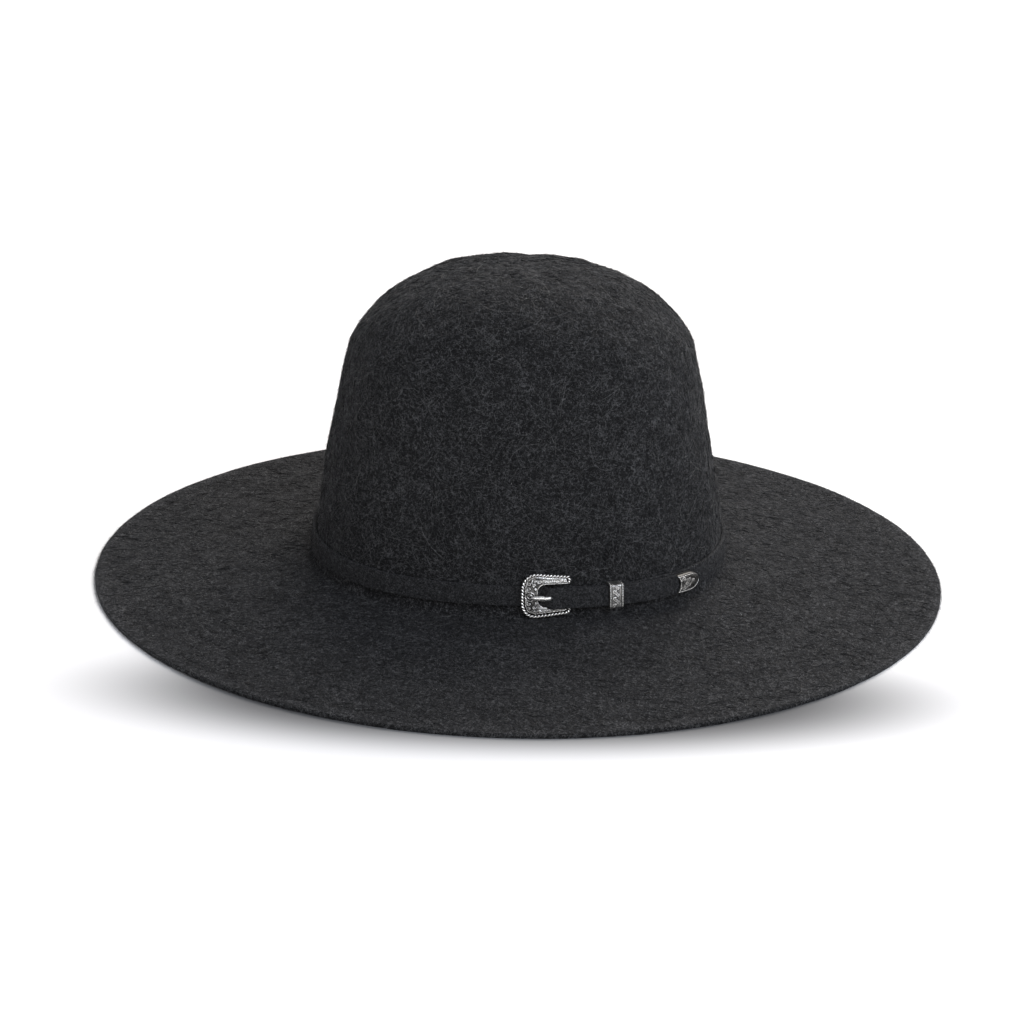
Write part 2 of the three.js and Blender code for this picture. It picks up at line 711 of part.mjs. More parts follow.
// Upper edge of the tip from its mouth to its nose: a straight part, then a round one
function tipEdge(share, inset) {
  const noseLength = TIP_LENGTH - TIP_INSERT + TIP_WALL;
  const straight = TIP_LENGTH - noseLength;
  if (share < NOSE_START) {
    return new THREE.Vector2(straight * share / NOSE_START, tipHalfHeight - inset);
  }
  const angle = QUARTER_TURN * (share - NOSE_START) / (1 - NOSE_START);
  return new THREE.Vector2(
    straight + (noseLength - inset) * Math.sin(angle) ** NOSE_POINT,
    (tipHalfHeight - inset) * Math.cos(angle),
  );
}

function tipBlock() {
  const block = new THREE.BoxGeometry(1, 2, 1, 9, 4, 1);
  moveVertices(block, (vertex) => {
    const share = vertex.x + 0.5;
    const edge = tipEdge(share, 0);
    const height = Math.max(edge.y, tipHalfHeight * NOSE_END);
    const mouth = TIP_SCALLOP * (1 - vertex.y ** 2) * (1 - share);
    vertex.set(edge.x + mouth, vertex.y * height, vertex.z > 0 ? tipFront : tipBack);
  });
  return block;
}

// Scrolls on the tip, placed and sized by shares of its length and half its height
const TIP_SCROLLS = [
  { along: 0.34, up: 0.4, size: 0.37, start: 3.4, direction: -1 },
  { along: 0.34, up: -0.4, size: 0.37, start: -3.4, direction: 1 },
  { along: 0.62, up: 0, size: 0.37, start: 3, direction: 1 },
];

function strapTip() {
  const borderSteps = 9;
  const border = [];
  for (let step = -borderSteps; step <= borderSteps; step += 1) {
    const edge = tipEdge(1 - Math.abs(step) / (borderSteps + 0.5), RELIEF_RADIUS * 1.3);
    border.push(new THREE.Vector2(edge.x, edge.y * Math.sign(step)));
  }
  const solids = [tipBlock(), flatTube(border, border.map(() => RELIEF_RADIUS), tipFront)];
  for (const row of TIP_SCROLLS) {
    solids.push(scroll({
      middle: new THREE.Vector2(row.along * TIP_LENGTH, row.up * tipHalfHeight),
      size: row.size * tipHalfHeight,
      start: row.start,
      direction: row.direction,
      level: tipFront,
    }));
  }
  const pocket = cutBox({
    along: [TIP_START - TIP_SCALLOP, TIP_START + TIP_INSERT + CLEARANCE],
    up: [-pocketHalfHeight, pocketHalfHeight],
    level: [tipBack + TIP_WALL, tipFront - TIP_WALL],
    middleHeight: strapMiddle,
  });
  const cap = joined(solids.map((piece) => wrapRound(piece, TIP_START, strapMiddle)));
  return toGeometry(cap.subtract(pocket));
}

// The hat
const hat = new THREE.Group();
hat.name = 'open_crown_hat';

function place(name, geometry, material) {
  const mesh = new THREE.Mesh(geometry, material);
  mesh.name = name;
  hat.add(mesh);
}

place('felt_body', feltBody(), feltMaterial);
place('band_strap', bandStrap(), strapMaterial);
place('buckle_frame', buckleFrame(), silverMaterial);
place('buckle_prong', buckleProng(), silverMaterial);
place('keeper', keeper(), silverMaterial);
place('strap_tip', strapTip(), silverMaterial);

export default hat;
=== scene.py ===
import math
from collections import namedtuple

import bpy
import numpy as np
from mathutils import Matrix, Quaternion, Vector


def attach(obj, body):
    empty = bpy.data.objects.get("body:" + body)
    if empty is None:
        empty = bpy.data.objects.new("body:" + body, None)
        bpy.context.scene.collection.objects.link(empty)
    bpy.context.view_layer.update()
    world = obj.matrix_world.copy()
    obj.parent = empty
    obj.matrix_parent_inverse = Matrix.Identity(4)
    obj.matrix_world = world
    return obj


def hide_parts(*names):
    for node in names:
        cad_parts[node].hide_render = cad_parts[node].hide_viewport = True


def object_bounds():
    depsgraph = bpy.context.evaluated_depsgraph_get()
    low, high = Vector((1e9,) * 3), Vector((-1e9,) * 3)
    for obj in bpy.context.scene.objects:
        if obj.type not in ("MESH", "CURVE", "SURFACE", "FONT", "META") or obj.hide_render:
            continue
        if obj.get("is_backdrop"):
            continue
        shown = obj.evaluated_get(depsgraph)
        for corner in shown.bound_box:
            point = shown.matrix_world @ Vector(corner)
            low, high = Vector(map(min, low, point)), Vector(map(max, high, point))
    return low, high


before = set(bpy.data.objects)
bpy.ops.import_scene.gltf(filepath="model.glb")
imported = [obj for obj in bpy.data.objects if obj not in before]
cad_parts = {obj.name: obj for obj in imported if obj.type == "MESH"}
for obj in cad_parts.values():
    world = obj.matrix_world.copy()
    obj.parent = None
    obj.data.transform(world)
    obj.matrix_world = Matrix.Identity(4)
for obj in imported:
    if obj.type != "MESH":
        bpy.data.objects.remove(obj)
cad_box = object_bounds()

# An open-crown hat of black long-hair felt, with a narrow felt strap and a metal buckle set.
# Sizes are in millimetres. The front of the hat points along -X, the buckle side along -Y.

MM = 0.001
TAU = math.tau
rng = np.random.default_rng(20)

# Camera, fitted to the brim's edge and the crown's outline in the photograph
CAMERA_LENS = 113.35
CAMERA_TARGET = (-3.8, 0.0, 33.3)
CAMERA_DISTANCE = 1650.0
CAMERA_ELEVATION = math.radians(21.11)
CAMERA_ROLL = math.radians(1.18)

# Crown, measured on the outside of the felt
CROWN_LENGTH = 209.5
CROWN_WIDTH = 173.3
CROWN_HEIGHT = 152.7
CROWN_TAPER = 16.4
SHOULDER_HEIGHT = 110.6
FELT_THICKNESS = 2.5

# Brim
BRIM_REACH_ENDS = 111.7
BRIM_REACH_SIDES = 114.8
BRIM_RISE = 9.5
BRIM_LAND = 6.0
ROOT_RADIUS = 3.5

# Shape of the crown and brim
OVAL_FULLNESS = 0.04
WALL_CURVE = 1.3
DOME_RUN = 1.67
DOME_ROUNDNESS = 2.93
BRIM_CURVE = 1.3

# Steps along each stretch of the felt's section
DOME_STEPS = 240
WALL_STEPS = 120
BEND_STEPS = 12
BRIM_STEPS = 120

# Strap
STRAP_HEIGHT = 9.8
STRAP_THICKNESS = 1.8
STRAP_CORNER = 0.6
FOLD_THICKNESS = 0.8
FOLD_LENGTH = 12.0

# Buckle frame and its bar
BUCKLE_START = 1.3
BUCKLE_LENGTH = 24.2
BUCKLE_HEIGHT = 22.9
ARM_END_HEIGHT = 20.0
ARM_CORNER = 1.4
BOW_WIDTH = 8.0
BOW_CORNER_LENGTH = 7.5
BOW_CORNER_HEIGHT = 8.5
CORNER_PULL = 0.4
OPENING_PLAY = 1.0
OPENING_CORNER = 4.0
PLATE_THICKNESS = 1.8
ROPE_RADIUS = 0.85
ROPE_PITCH = 3.3
GROOVE_WIDTH = 0.45
BAR_RADIUS = 0.7
BAR_SETBACK = 8.8
BUCKLE_TILT = 0.035

# Prong
PRONG_HEIGHT = 2.1
PRONG_THICKNESS = 1.6
PRONG_REST = 0.63
EYE_THICKNESS = 0.6
RELIEF_RADIUS = 0.42

# Keeper loop and strap tip
KEEPER_START = 43.7
KEEPER_LENGTH = 7.0
KEEPER_WALL = 0.8
TIP_START = 80.0
TIP_LENGTH = 14.0
TIP_HEIGHT = 9.4
TIP_WALL = 0.8
TIP_SCALLOP = 1.6
TIP_INSERT = 8.0

CLEARANCE = 0.3

crown_radius = (CROWN_LENGTH + CROWN_WIDTH) / 4
crown_stretch = (CROWN_LENGTH - CROWN_WIDTH) / 4
brim_radius = crown_radius + (BRIM_REACH_ENDS + BRIM_REACH_SIDES) / 2
brim_stretch = crown_stretch + (BRIM_REACH_ENDS - BRIM_REACH_SIDES) / 2
root_height = FELT_THICKNESS + BRIM_RISE
land_start = brim_radius - BRIM_LAND
root_slope = math.atan(BRIM_CURVE * BRIM_RISE / (land_start - crown_radius - ROOT_RADIUS))
wall_start = ROOT_RADIUS * math.cos(root_slope)
buckle_middle = root_height + CLEARANCE + BUCKLE_HEIGHT / 2
strap_middle = buckle_middle - OPENING_PLAY + CLEARANCE


# Lines of points

def distances(line):
    """Distance along a line at each of its points."""
    return np.r_[0, np.cumsum(np.linalg.norm(np.diff(line, axis=0), axis=1))]


def unit(vectors):
    return vectors / (np.linalg.norm(vectors, axis=1, keepdims=True) + 1e-9)


def directions(line):
    return unit(np.gradient(line, axis=0))


# Plan and section of the felt

def oval(radius, angle):
    inward = np.minimum(1, radius / crown_radius)
    outward = np.maximum(0, (radius - crown_radius) / (brim_radius - crown_radius))
    stretch = crown_stretch * inward + (brim_stretch - crown_stretch) * outward
    bulge = 1 + OVAL_FULLNESS * (inward - outward) * np.sin(2 * angle) ** 2
    x = (radius + stretch) * bulge * np.cos(angle)
    y = (radius - stretch) * bulge * np.sin(angle)
    return x, y


def tapered_radius(height):
    return crown_radius - CROWN_TAPER * (height / SHOULDER_HEIGHT) ** WALL_CURVE


def wall_recess(height):
    """How far the wall has drawn in at a height above the surface under the hat."""
    return crown_radius - tapered_radius(np.maximum(wall_start, height - root_height))


def felt_section():
    """Upper side of the felt, from the top of the crown to the brim's edge."""
    angle = np.linspace(math.pi / 2, 0, DOME_STEPS, endpoint=False)
    height = SHOULDER_HEIGHT + (CROWN_HEIGHT - SHOULDER_HEIGHT) * np.sin(angle) ** (2 / DOME_RUN)
    closing = np.maximum(0, np.cos(angle)) ** (2 / DOME_ROUNDNESS)
    closing[0] = 0
    dome = np.c_[tapered_radius(height) * closing, height]
    height = np.linspace(SHOULDER_HEIGHT, wall_start, WALL_STEPS, endpoint=False)
    wall = np.c_[tapered_radius(height), height]
    angle = math.pi + np.linspace(0, math.pi / 2 - root_slope, BEND_STEPS)
    bend_radius = tapered_radius(wall_start) + ROOT_RADIUS
    bend = np.c_[bend_radius + ROOT_RADIUS * np.cos(angle), wall_start + ROOT_RADIUS * np.sin(angle)]
    share = np.linspace(0, 1, BRIM_STEPS + 1)[1:]
    radius = bend[-1, 0] + (land_start - bend[-1, 0]) * share
    brim = np.c_[radius, BRIM_RISE * (1 - share) ** BRIM_CURVE - BRIM_RISE]
    land = np.array([[brim_radius, -BRIM_RISE]])
    points = np.vstack([dome, wall, bend, brim, land])
    points[:, 1] += root_height
    return points


section = felt_section()
section_length = distances(section)
FELT_END = section_length[-1]
root_at = section_length[np.argmin(abs(section[:, 0] - crown_radius - ROOT_RADIUS))]


def section_at(run):
    """Radius and height at a distance along the section from the top of the crown."""
    radius = np.interp(run, section_length, section[:, 0])
    height = np.interp(run, section_length, section[:, 1])
    return radius, height


def section_normal(run):
    """Outward and upward share of the section's normal."""
    step = 0.8
    r0, z0 = section_at(np.clip(run - step, 0, FELT_END))
    r1, z1 = section_at(np.clip(run + step, 0, FELT_END))
    size = np.hypot(r1 - r0, z1 - z0)
    return -(z1 - z0) / size, (r1 - r0) / size


# A crease in the crown above the keeper, where the hair parts and bares the felt's dark
# ground as painted shade in the crease: its angle round the crown in degrees, its height
# above the surface, its reach up and down, and the parting's width
CREASE_ANGLE = -65.4
CREASE_HEIGHT = 43.5
CREASE_REACH = 6.5
CREASE_PARTING = 1.6

# Dents and swellings, three at the crease and two at a tuft: angle, height, reach along
# and up, and depth, inward below zero. All lean by the same share of their height.
DENT_LEAN = 0.33
Dent = namedtuple("Dent", "angle height along up depth")
DENTS = (
    Dent(CREASE_ANGLE, CREASE_HEIGHT, along=1.6, up=7.0, depth=-3.6),
    Dent(CREASE_ANGLE + 2.2, 42.0, along=2.0, up=7.0, depth=1.2),
    Dent(CREASE_ANGLE - 2.8, 41.0, along=2.6, up=8.0, depth=1.3),
    Dent(-151.5, 44.0, along=3.5, up=3.0, depth=1.1),
    Dent(-150.0, 36.0, along=6.0, up=3.0, depth=-0.8),
)

# Waves in the felt: height in mm, number round the hat, phase, and the distance along the
# section for each radian
Wave = namedtuple("Wave", "height around phase run")
CROWN_WAVES = (
    Wave(0.34, 3, 0.7, 31),
    Wave(0.28, 5, -1.9, -23),
    Wave(0.24, 9, 0, 9),
    Wave(0.2, 14, 2, -6),
    Wave(0.065, 20, math.pi / 2, -2.3032),
    Wave(0.065, 26, -math.pi / 2, -23.8),
)
BRIM_WAVES = (
    Wave(0.22, 2, 0.4, math.inf),
    Wave(0.16, 5, 1.2, 60),
    Wave(0.1, 4, 0, 11),
    Wave(0.07, 19, 0, 5),
)

# Where the waves begin on either side of the crown's foot, and how long they take to grow
CROWN_CALM = 18
CROWN_GROWTH = 25
TOP_GROWTH = 30
BRIM_CALM = 8
BRIM_GROWTH = 40


def waves(rows, run, angle):
    return sum(row.height * np.sin(row.around * angle + row.phase + run / row.run) for row in rows)


def at_dent(dent, run, angle):
    """How near a place is to the middle line of a dent, from 0 to 1, and on which side."""
    radius, height = section_at(run)
    turn = (angle - math.radians(dent.angle) + math.pi) % TAU - math.pi
    above = height - dent.height
    across = turn * radius - DENT_LEAN * above
    near = np.exp(-(across / dent.along) ** 2 - np.abs(above / dent.up) ** 2.5)
    return (run < root_at) * near, np.sign(across)


def wobble(run, angle):
    """Unevenness of the felt along its normal."""
    crown = np.clip((root_at - CROWN_CALM - run) / CROWN_GROWTH, 0, 1)
    crown = crown * np.clip(run / TOP_GROWTH, 0, 1)
    brim = np.clip((run - root_at - BRIM_CALM) / BRIM_GROWTH, 0, 1)
    move = crown * waves(CROWN_WAVES, run, angle) + brim * waves(BRIM_WAVES, run, angle)
    for dent in DENTS:
        near, side = at_dent(dent, run, angle)
        move = move + dent.depth * near
    return move


def felt_point(run, angle, lift=0.0):
    """Points of the felt's upper side in mm, raised by lift along the section's normal."""
    radius, height = section_at(run)
    out, up = section_normal(run)
    raised = lift + wobble(run, angle)
    flat = np.maximum(0, radius + out * raised)
    x, y = oval(flat, angle)
    return np.stack([x, y, height + up * raised], axis=-1)


# Meshes

def add_mesh(name, points, faces, material, values=None):
    """Object from points in mm and rows of four indices, the last below zero for a triangle."""
    mesh = bpy.data.meshes.new(name)
    points = np.asarray(points, dtype=np.float32) * MM
    faces = np.asarray(faces, dtype=np.int32)
    sizes = np.where(faces[:, 3] < 0, 3, 4)
    corners = faces.ravel()
    mesh.vertices.add(len(points))
    mesh.vertices.foreach_set("co", points.ravel())
    mesh.loops.add(int(sizes.sum()))
    mesh.loops.foreach_set("vertex_index", corners[corners >= 0])
    mesh.polygons.add(len(faces))
    mesh.polygons.foreach_set("loop_start", np.r_[0, np.cumsum(sizes)[:-1]].astype(np.int32))
    mesh.polygons.foreach_set("use_smooth", np.ones(len(faces), dtype=bool))
    if values is not None:
        layer = mesh.attributes.new("relief", "FLOAT", "POINT")
        layer.data.foreach_set("value", np.asarray(values, dtype=np.float32))
    mesh.update(calc_edges=True)
    mesh.validate()
    mesh.materials.append(material)
    piece = bpy.data.objects.new(name, mesh)
    bpy.context.scene.collection.objects.link(piece)
    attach(piece, "root")
    return piece


def grid_quads(rows, columns, wrap_rows=False, wrap_columns=False, start=0):
    """Quads of a grid of points stored row by row."""
    row = np.arange(rows if wrap_rows else rows - 1)
    column = np.arange(columns if wrap_columns else columns - 1)
    row, column = np.meshgrid(row, column, indexing="ij")
    below = (row + 1) % rows
    right = (column + 1) % columns
    corners = (
        row * columns + column,
        below * columns + column,
        below * columns + right,
        row * columns + right,
    )
    return start + np.stack([corner.ravel() for corner in corners], axis=1)


def end_cap(ring, centre, flip=False):
    """Triangles from a ring of point indices to a centre point."""
    following = np.roll(ring, -1)
    pair = (following, ring) if flip else (ring, following)
    return np.stack([*pair, np.full(len(ring), centre), np.full(len(ring), -1)], axis=1)


class Parts:
    """Collects grids of points into one mesh."""

    def __init__(self):
        self.points = []
        self.faces = []
        self.values = []
        self.count = 0

    def grid(self, points, values, wrap_rows=False, wrap_columns=False, flip=False):
        rows, columns = points.shape[:2]
        quads = grid_quads(rows, columns, wrap_rows, wrap_columns, self.count)
        self.faces.append(quads[:, ::-1] if flip else quads)
        self.points.append(points.reshape(-1, 3))
        self.values.append(np.broadcast_to(values, points.shape[:2]).ravel())
        self.count += rows * columns

    def object(self, name, material, place):
        points = place(np.vstack(self.points))
        values = np.concatenate(self.values)
        return add_mesh(name, points, np.vstack(self.faces), material, values)


# Materials

def new_material(name):
    material = bpy.data.materials.new(name)
    material.use_nodes = True
    tree = material.node_tree
    tree.nodes.clear()
    output = tree.nodes.new("ShaderNodeOutputMaterial")
    shader = tree.nodes.new("ShaderNodeBsdfPrincipled")
    tree.links.new(shader.outputs[0], output.inputs[0])
    return material, tree, shader


def fill(tree, node, inputs):
    """Sets a node's inputs, linking those that are given as another node's output."""
    for name, value in inputs.items():
        socket = node.inputs[name]
        if isinstance(value, bpy.types.NodeSocket):
            tree.links.new(value, socket)
        else:
            socket.default_value = value


def add_node(tree, kind, inputs=None, **settings):
    node = tree.nodes.new(kind)
    for name, value in settings.items():
        setattr(node, name, value)
    fill(tree, node, inputs or {})
    return node


def math_node(tree, operation, first, second=0.0, third=0.0):
    values = {0: first, 1: second, 2: third}
    return add_node(tree, "ShaderNodeMath", values, operation=operation).outputs[0]


def noise(tree, place, scale, detail=2.0, roughness=0.5, distortion=0.0):
    values = {
        "Vector": place, "Scale": scale, "Detail": detail,
        "Roughness": roughness, "Distortion": distortion,
    }
    return add_node(tree, "ShaderNodeTexNoise", values)


def ramp(tree, factor, stops):
    node = add_node(tree, "ShaderNodeValToRGB", {"Fac": factor})
    elements = node.color_ramp.elements
    while len(elements) < len(stops):
        elements.new(0.5)
    for element, (position, colour) in zip(elements, stops):
        element.position = position
        element.color = (*colour, 1)
    return node.outputs["Color"]


def hair_lines(tree, place, scale, turn, width):
    """Thin curly lines, where a noise crosses its middle, broken into short strands."""
    moved = add_node(tree, "ShaderNodeMapping", {
        "Vector": place, "Location": (turn, turn * 0.7, 0.3),
        "Rotation": (turn, turn * 2.1, turn * 0.6), "Scale": (1.0, 0.72, 1.0),
    }).outputs[0]
    wave = noise(tree, moved, scale, 1.5, 0.55, 0.5).outputs["Fac"]
    offset = math_node(tree, "ABSOLUTE", math_node(tree, "SUBTRACT", wave, 0.5))
    line = add_node(tree, "ShaderNodeMapRange", {
        "Value": offset, "From Min": 0.0, "From Max": width, "To Min": 1.0, "To Max": 0.0,
    }, interpolation_type="SMOOTHSTEP").outputs[0]
    broken = noise(tree, moved, scale * 0.9, 0.0).outputs["Fac"]
    strength = add_node(tree, "ShaderNodeMapRange", {
        "Value": broken, "From Min": 0.42, "From Max": 0.62, "To Min": 0.0, "To Max": 1.0,
    }).outputs[0]
    return math_node(tree, "MULTIPLY", line, strength)


# Strands of the felt's ground, finer and wider in each layer, and how much of its tone
# comes from strands, grain, lumps and blotches
Strands = namedtuple("Strands", "scale turn width")
STRAND_LAYERS = (
    Strands(0.5, 0.4, 0.022),
    Strands(0.9, 1.7, 0.035),
    Strands(1.4, 2.9, 0.055),
    Strands(2.0, 4.3, 0.07),
)
TONE_SHARES = {"strands": 0.4, "grain": 0.9, "lump": 0.16, "blotch": 0.14}
GRAIN_FINENESS = 3.4
BLOTCH_SCALE = 26.0


def felt_material(name, ground, hair, fleck, fuzz, fineness, lumps):
    """Matted hair: a dark ground under layers of curly lighter strands."""
    material, tree, shader = new_material(name)
    place = add_node(tree, "ShaderNodeTexCoord").outputs["Object"]
    strands = None
    for row in STRAND_LAYERS:
        layer = hair_lines(tree, place, fineness * row.scale, row.turn, row.width)
        strands = layer if strands is None else math_node(tree, "MAXIMUM", strands, layer)
    grain = noise(tree, place, fineness * GRAIN_FINENESS, 2.0, 0.7).outputs["Fac"]
    lump = noise(tree, place, lumps, 3.0, 0.6, 0.8).outputs["Fac"]
    blotch = noise(tree, place, BLOTCH_SCALE, 3.0).outputs["Fac"]
    tone = math_node(tree, "MULTIPLY", strands, TONE_SHARES["strands"])
    tone = math_node(tree, "MULTIPLY_ADD", grain, TONE_SHARES["grain"], tone)
    tone = math_node(tree, "MULTIPLY_ADD", lump, TONE_SHARES["lump"], tone)
    tone = math_node(tree, "MULTIPLY_ADD", blotch, TONE_SHARES["blotch"], tone)
    colour = ramp(tree, tone, ((0.48, ground), (0.78, hair), (1.0, fleck)))
    fine = add_node(tree, "ShaderNodeBump", {"Height": tone, "Strength": 0.7, "Distance": 0.0005})
    coarse = add_node(tree, "ShaderNodeBump", {
        "Height": lump, "Strength": 0.6, "Distance": 0.0028, "Normal": fine.outputs[0],
    })
    fill(tree, shader, {
        "Base Color": colour, "Roughness": 0.92, "Specular IOR Level": 0.22, "Sheen Weight": fuzz,
        "Sheen Roughness": 0.5, "Sheen Tint": (0.6, 0.63, 0.7, 1), "Normal": coarse.outputs[0],
    })
    return material


def fibre_material(name, colour, roughness):
    """Hair whose shade changes a little from place to place."""
    material, tree, shader = new_material(name)
    place = add_node(tree, "ShaderNodeTexCoord").outputs["Object"]
    shade = noise(tree, place, 700.0, 1.0).outputs["Fac"]
    dark = tuple(value * 0.4 for value in colour)
    tint = ramp(tree, shade, ((0.38, dark), (0.62, colour)))
    fill(tree, shader, {
        "Base Color": tint, "Roughness": roughness, "Specular IOR Level": 0.3,
        "Sheen Weight": 0.15, "Sheen Roughness": 0.3,
    })
    return material


def silver_material(name, dark, bright, polish):
    """Metal that is rough in its recesses and polished, with the given roughness, on what
    stands out. Its colour is dark in the recesses, as painted shade, and bright on what
    stands out."""
    material, tree, shader = new_material(name)
    place = add_node(tree, "ShaderNodeTexCoord").outputs["Object"]
    relief = add_node(tree, "ShaderNodeAttribute", attribute_name="relief").outputs["Fac"]
    stain = noise(tree, place, 1400.0, 4.0, 0.65).outputs["Fac"]
    cloud = noise(tree, place, 240.0).outputs["Fac"]
    mixed = math_node(tree, "MULTIPLY_ADD", stain, 0.5, relief)
    mixed = math_node(tree, "MULTIPLY_ADD", cloud, 0.2, mixed)
    mixed = math_node(tree, "MULTIPLY", mixed, 0.75)
    middle = tuple(a * 0.6 + b * 0.4 for a, b in zip(dark, bright))
    # The relief attribute sets the colour: dark in recesses as painted shade, bright on what stands
    # out, with random stains and clouds over both.
    colour = ramp(tree, mixed, ((0.34, dark), (0.6, middle), (0.95, bright)))
    rough = add_node(tree, "ShaderNodeMapRange", {
        "Value": mixed, "From Min": 0.25, "From Max": 0.85, "To Min": 0.42, "To Max": polish,
    })
    bump = add_node(tree, "ShaderNodeBump", {"Height": stain, "Strength": 0.35, "Distance": 0.0002})
    fill(tree, shader, {
        "Base Color": colour, "Metallic": 0.88, "Roughness": rough.outputs[0],
        "Normal": bump.outputs[0],
    })
    return material


FELT = felt_material(
    "felt", ground=(0.0016, 0.0016, 0.0018), hair=(0.015, 0.015, 0.0155),
    fleck=(0.08, 0.08, 0.082), fuzz=0.05, fineness=420, lumps=120,
)
STRAP_FELT = felt_material(
    "strap_felt", ground=(0.004, 0.004, 0.0042), hair=(0.026, 0.026, 0.027),
    fleck=(0.09, 0.09, 0.092), fuzz=0.05, fineness=620, lumps=300,
)
FIBRE_SHADES = {
    "black": fibre_material("fibre_black", (0.005, 0.005, 0.0053), 0.7),
    "charcoal": fibre_material("fibre_charcoal", (0.026, 0.026, 0.027), 0.65),
    "grey": fibre_material("fibre_grey", (0.07, 0.07, 0.071), 0.6),
    "light": fibre_material("fibre_light", (0.115, 0.115, 0.115), 0.6),
    "lint": fibre_material("lint", (0.6, 0.6, 0.57), 0.7),
}
SILVER = silver_material("aged_silver", (0.012, 0.011, 0.01), (0.95, 0.93, 0.89), 0.18)
POLISHED = silver_material("polished_silver", (0.3, 0.29, 0.28), (0.9, 0.89, 0.86), 0.18)

# Felt body

# Columns round the hat, those of them close together at the crease, and their spread in
# degrees to either side of it
AROUND = 360
CREASE_COLUMNS = 24
CREASE_SPREAD = 2.5
EDGE_ROUNDING = 0.6
EDGE_ROWS = 7
POLE_RUN = 0.5

# Rows of the mesh outside and inside the felt: first and last place along the section,
# and number of rows
inner_run = FELT_END - EDGE_ROUNDING
TOP_STRETCHES = (
    (POLE_RUN, root_at - 8, 96),
    (root_at - 7, root_at + 3, 12),
    (root_at + 5, inner_run, 44),
)
UNDER_STRETCHES = (
    (inner_run, root_at + 4, 16),
    (root_at + 2, root_at - 8, 8),
    (root_at - 12, POLE_RUN, 26),
)


def places(stretches):
    return np.concatenate([np.linspace(first, last, rows) for first, last, rows in stretches])


def felt_body():
    crease = np.radians(CREASE_ANGLE + np.linspace(-CREASE_SPREAD, CREASE_SPREAD, CREASE_COLUMNS))
    apart = 0.001
    even = np.linspace(0, TAU, AROUND - CREASE_COLUMNS, endpoint=False) + apart
    angle = np.sort(np.r_[even, crease % TAU])
    rows = [felt_point(run, angle) for run in places(TOP_STRETCHES)]
    for step in range(1, EDGE_ROWS):
        turn = math.pi * step / EDGE_ROWS
        drop = FELT_THICKNESS / 2 * (1 - math.cos(turn))
        rough_cut = 0.072 * np.sin(37 * angle + step) + 0.06 * np.sin(71 * angle + 2 * step)
        ring = felt_point(inner_run + EDGE_ROUNDING * math.sin(turn) ** 0.4, angle, -drop)
        ring[:, :2] *= (1 + rough_cut / brim_radius)[:, None]
        rows.append(ring)
    rows += [felt_point(run, angle, -FELT_THICKNESS) for run in places(UNDER_STRETCHES)]
    points = np.stack(rows)
    points[..., 2] = np.maximum(points[..., 2], 0)
    quads = grid_quads(len(rows), AROUND, wrap_columns=True)
    poles = np.stack([points[0].mean(axis=0), points[-1].mean(axis=0)])
    flat = np.vstack([points.reshape(-1, 3), poles])
    ring = np.arange(AROUND)
    caps = [
        end_cap(ring, len(flat) - 2),
        end_cap((len(rows) - 1) * AROUND + ring, len(flat) - 1, flip=True),
    ]
    piece = add_mesh("felt_hat", flat, np.vstack([quads, *caps]), FELT)
    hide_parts("felt_body")


# Loose fibres

# Swirls of the nap: size in radians, waves across, along and over the hat's plan and for
# each SWIRL_RUN of the section, and phase
SWIRL_RUN = 24
Swirl = namedtuple("Swirl", "size x y xy run phase")
SWIRLS = (
    Swirl(0.7, 3.1, 0, 0, 1.9, 0.4),
    Swirl(0.7, 0, 3.6, 0, -1.4, 2.2),
    Swirl(0.8, 0, 0, 6.2, 2.6, 4.0),
    Swirl(0.7, 0, 9.1, 0, 3.4, 0),
)


def flow(run, angle):
    """Direction in which the nap lies, from the meridian, in radians."""
    x = np.cos(angle)
    y = np.sin(angle)
    along = run / SWIRL_RUN
    turn = 0.6 * np.sin(17 * angle + 5.1 * along) * np.sin(11 * x - 4.3 * along)
    for row in SWIRLS:
        wave = row.x * x + row.y * y + row.xy * x * y + row.run * along
        turn = turn + row.size * np.sin(wave + row.phase)
    return turn


# How far a fibre turns from its root to its tip, how deep or high its root lies, how its
# rise bends, and how much thinner it is at its tip
CURL = 1.5
ROOT_DEPTH = 0.05
RISE_BEND = 1.3
TIP_THINNING = 0.35


def fibres(layer, surface, sample):
    """Thin curly ribbons on a surface. surface(a, b, lift) gives points in mm. sample(layer)
    gives a, b, the mm per unit of b, and the direction of the nap."""
    count = layer.count
    joints = layer.joints
    a, b, scale, turn = sample(layer)
    turn = turn + rng.normal(0, layer.stray, count)
    long = layer.length * rng.gamma(4, 0.25, count)
    curl = rng.normal(0, CURL, count)
    rise = layer.lift * rng.gamma(1.4, 0.7, count)
    root_lift = ROOT_DEPTH * (2 * rng.random(count) - 1)
    lean = rng.uniform(0, math.pi, count)[:, None]
    shares = np.linspace(0, 1, joints)
    step = long / (joints - 1)
    spine = [surface(a, b, root_lift)]
    for share in shares[1:]:
        way = turn + curl * share
        a = a + step * np.cos(way)
        b = b + step * np.sin(way) / scale
        spine.append(surface(a, b, root_lift + rise * share ** RISE_BEND))
    forward = unit(spine[-1] - spine[0])
    above = unit(surface(a, b, np.ones(count)) - surface(a, b, np.zeros(count)))
    across = np.cross(forward, above) * np.cos(lean) + above * np.sin(lean)
    half = (layer.width / 2 * rng.uniform(0.7, 1.3, count))[:, None] * across
    sides = []
    for point, share in zip(spine[:-1], shares):
        thin = 1 - TIP_THINNING * share
        sides += [point - half * thin, point + half * thin]
    points = np.stack([*sides, spine[-1]], axis=1)
    corners = 2 * joints - 1
    base = np.arange(count)[:, None] * corners
    faces = [base + 2 * joint + np.array([[0, 1, 3, 2]]) for joint in range(joints - 2)]
    tip = base + np.array([[corners - 3, corners - 2, corners - 1, 0]])
    tip[:, 3] = -1
    flat = points.reshape(-1, 3)
    add_mesh(layer.name, flat, np.vstack([*faces, tip]), FIBRE_SHADES[layer.shade])


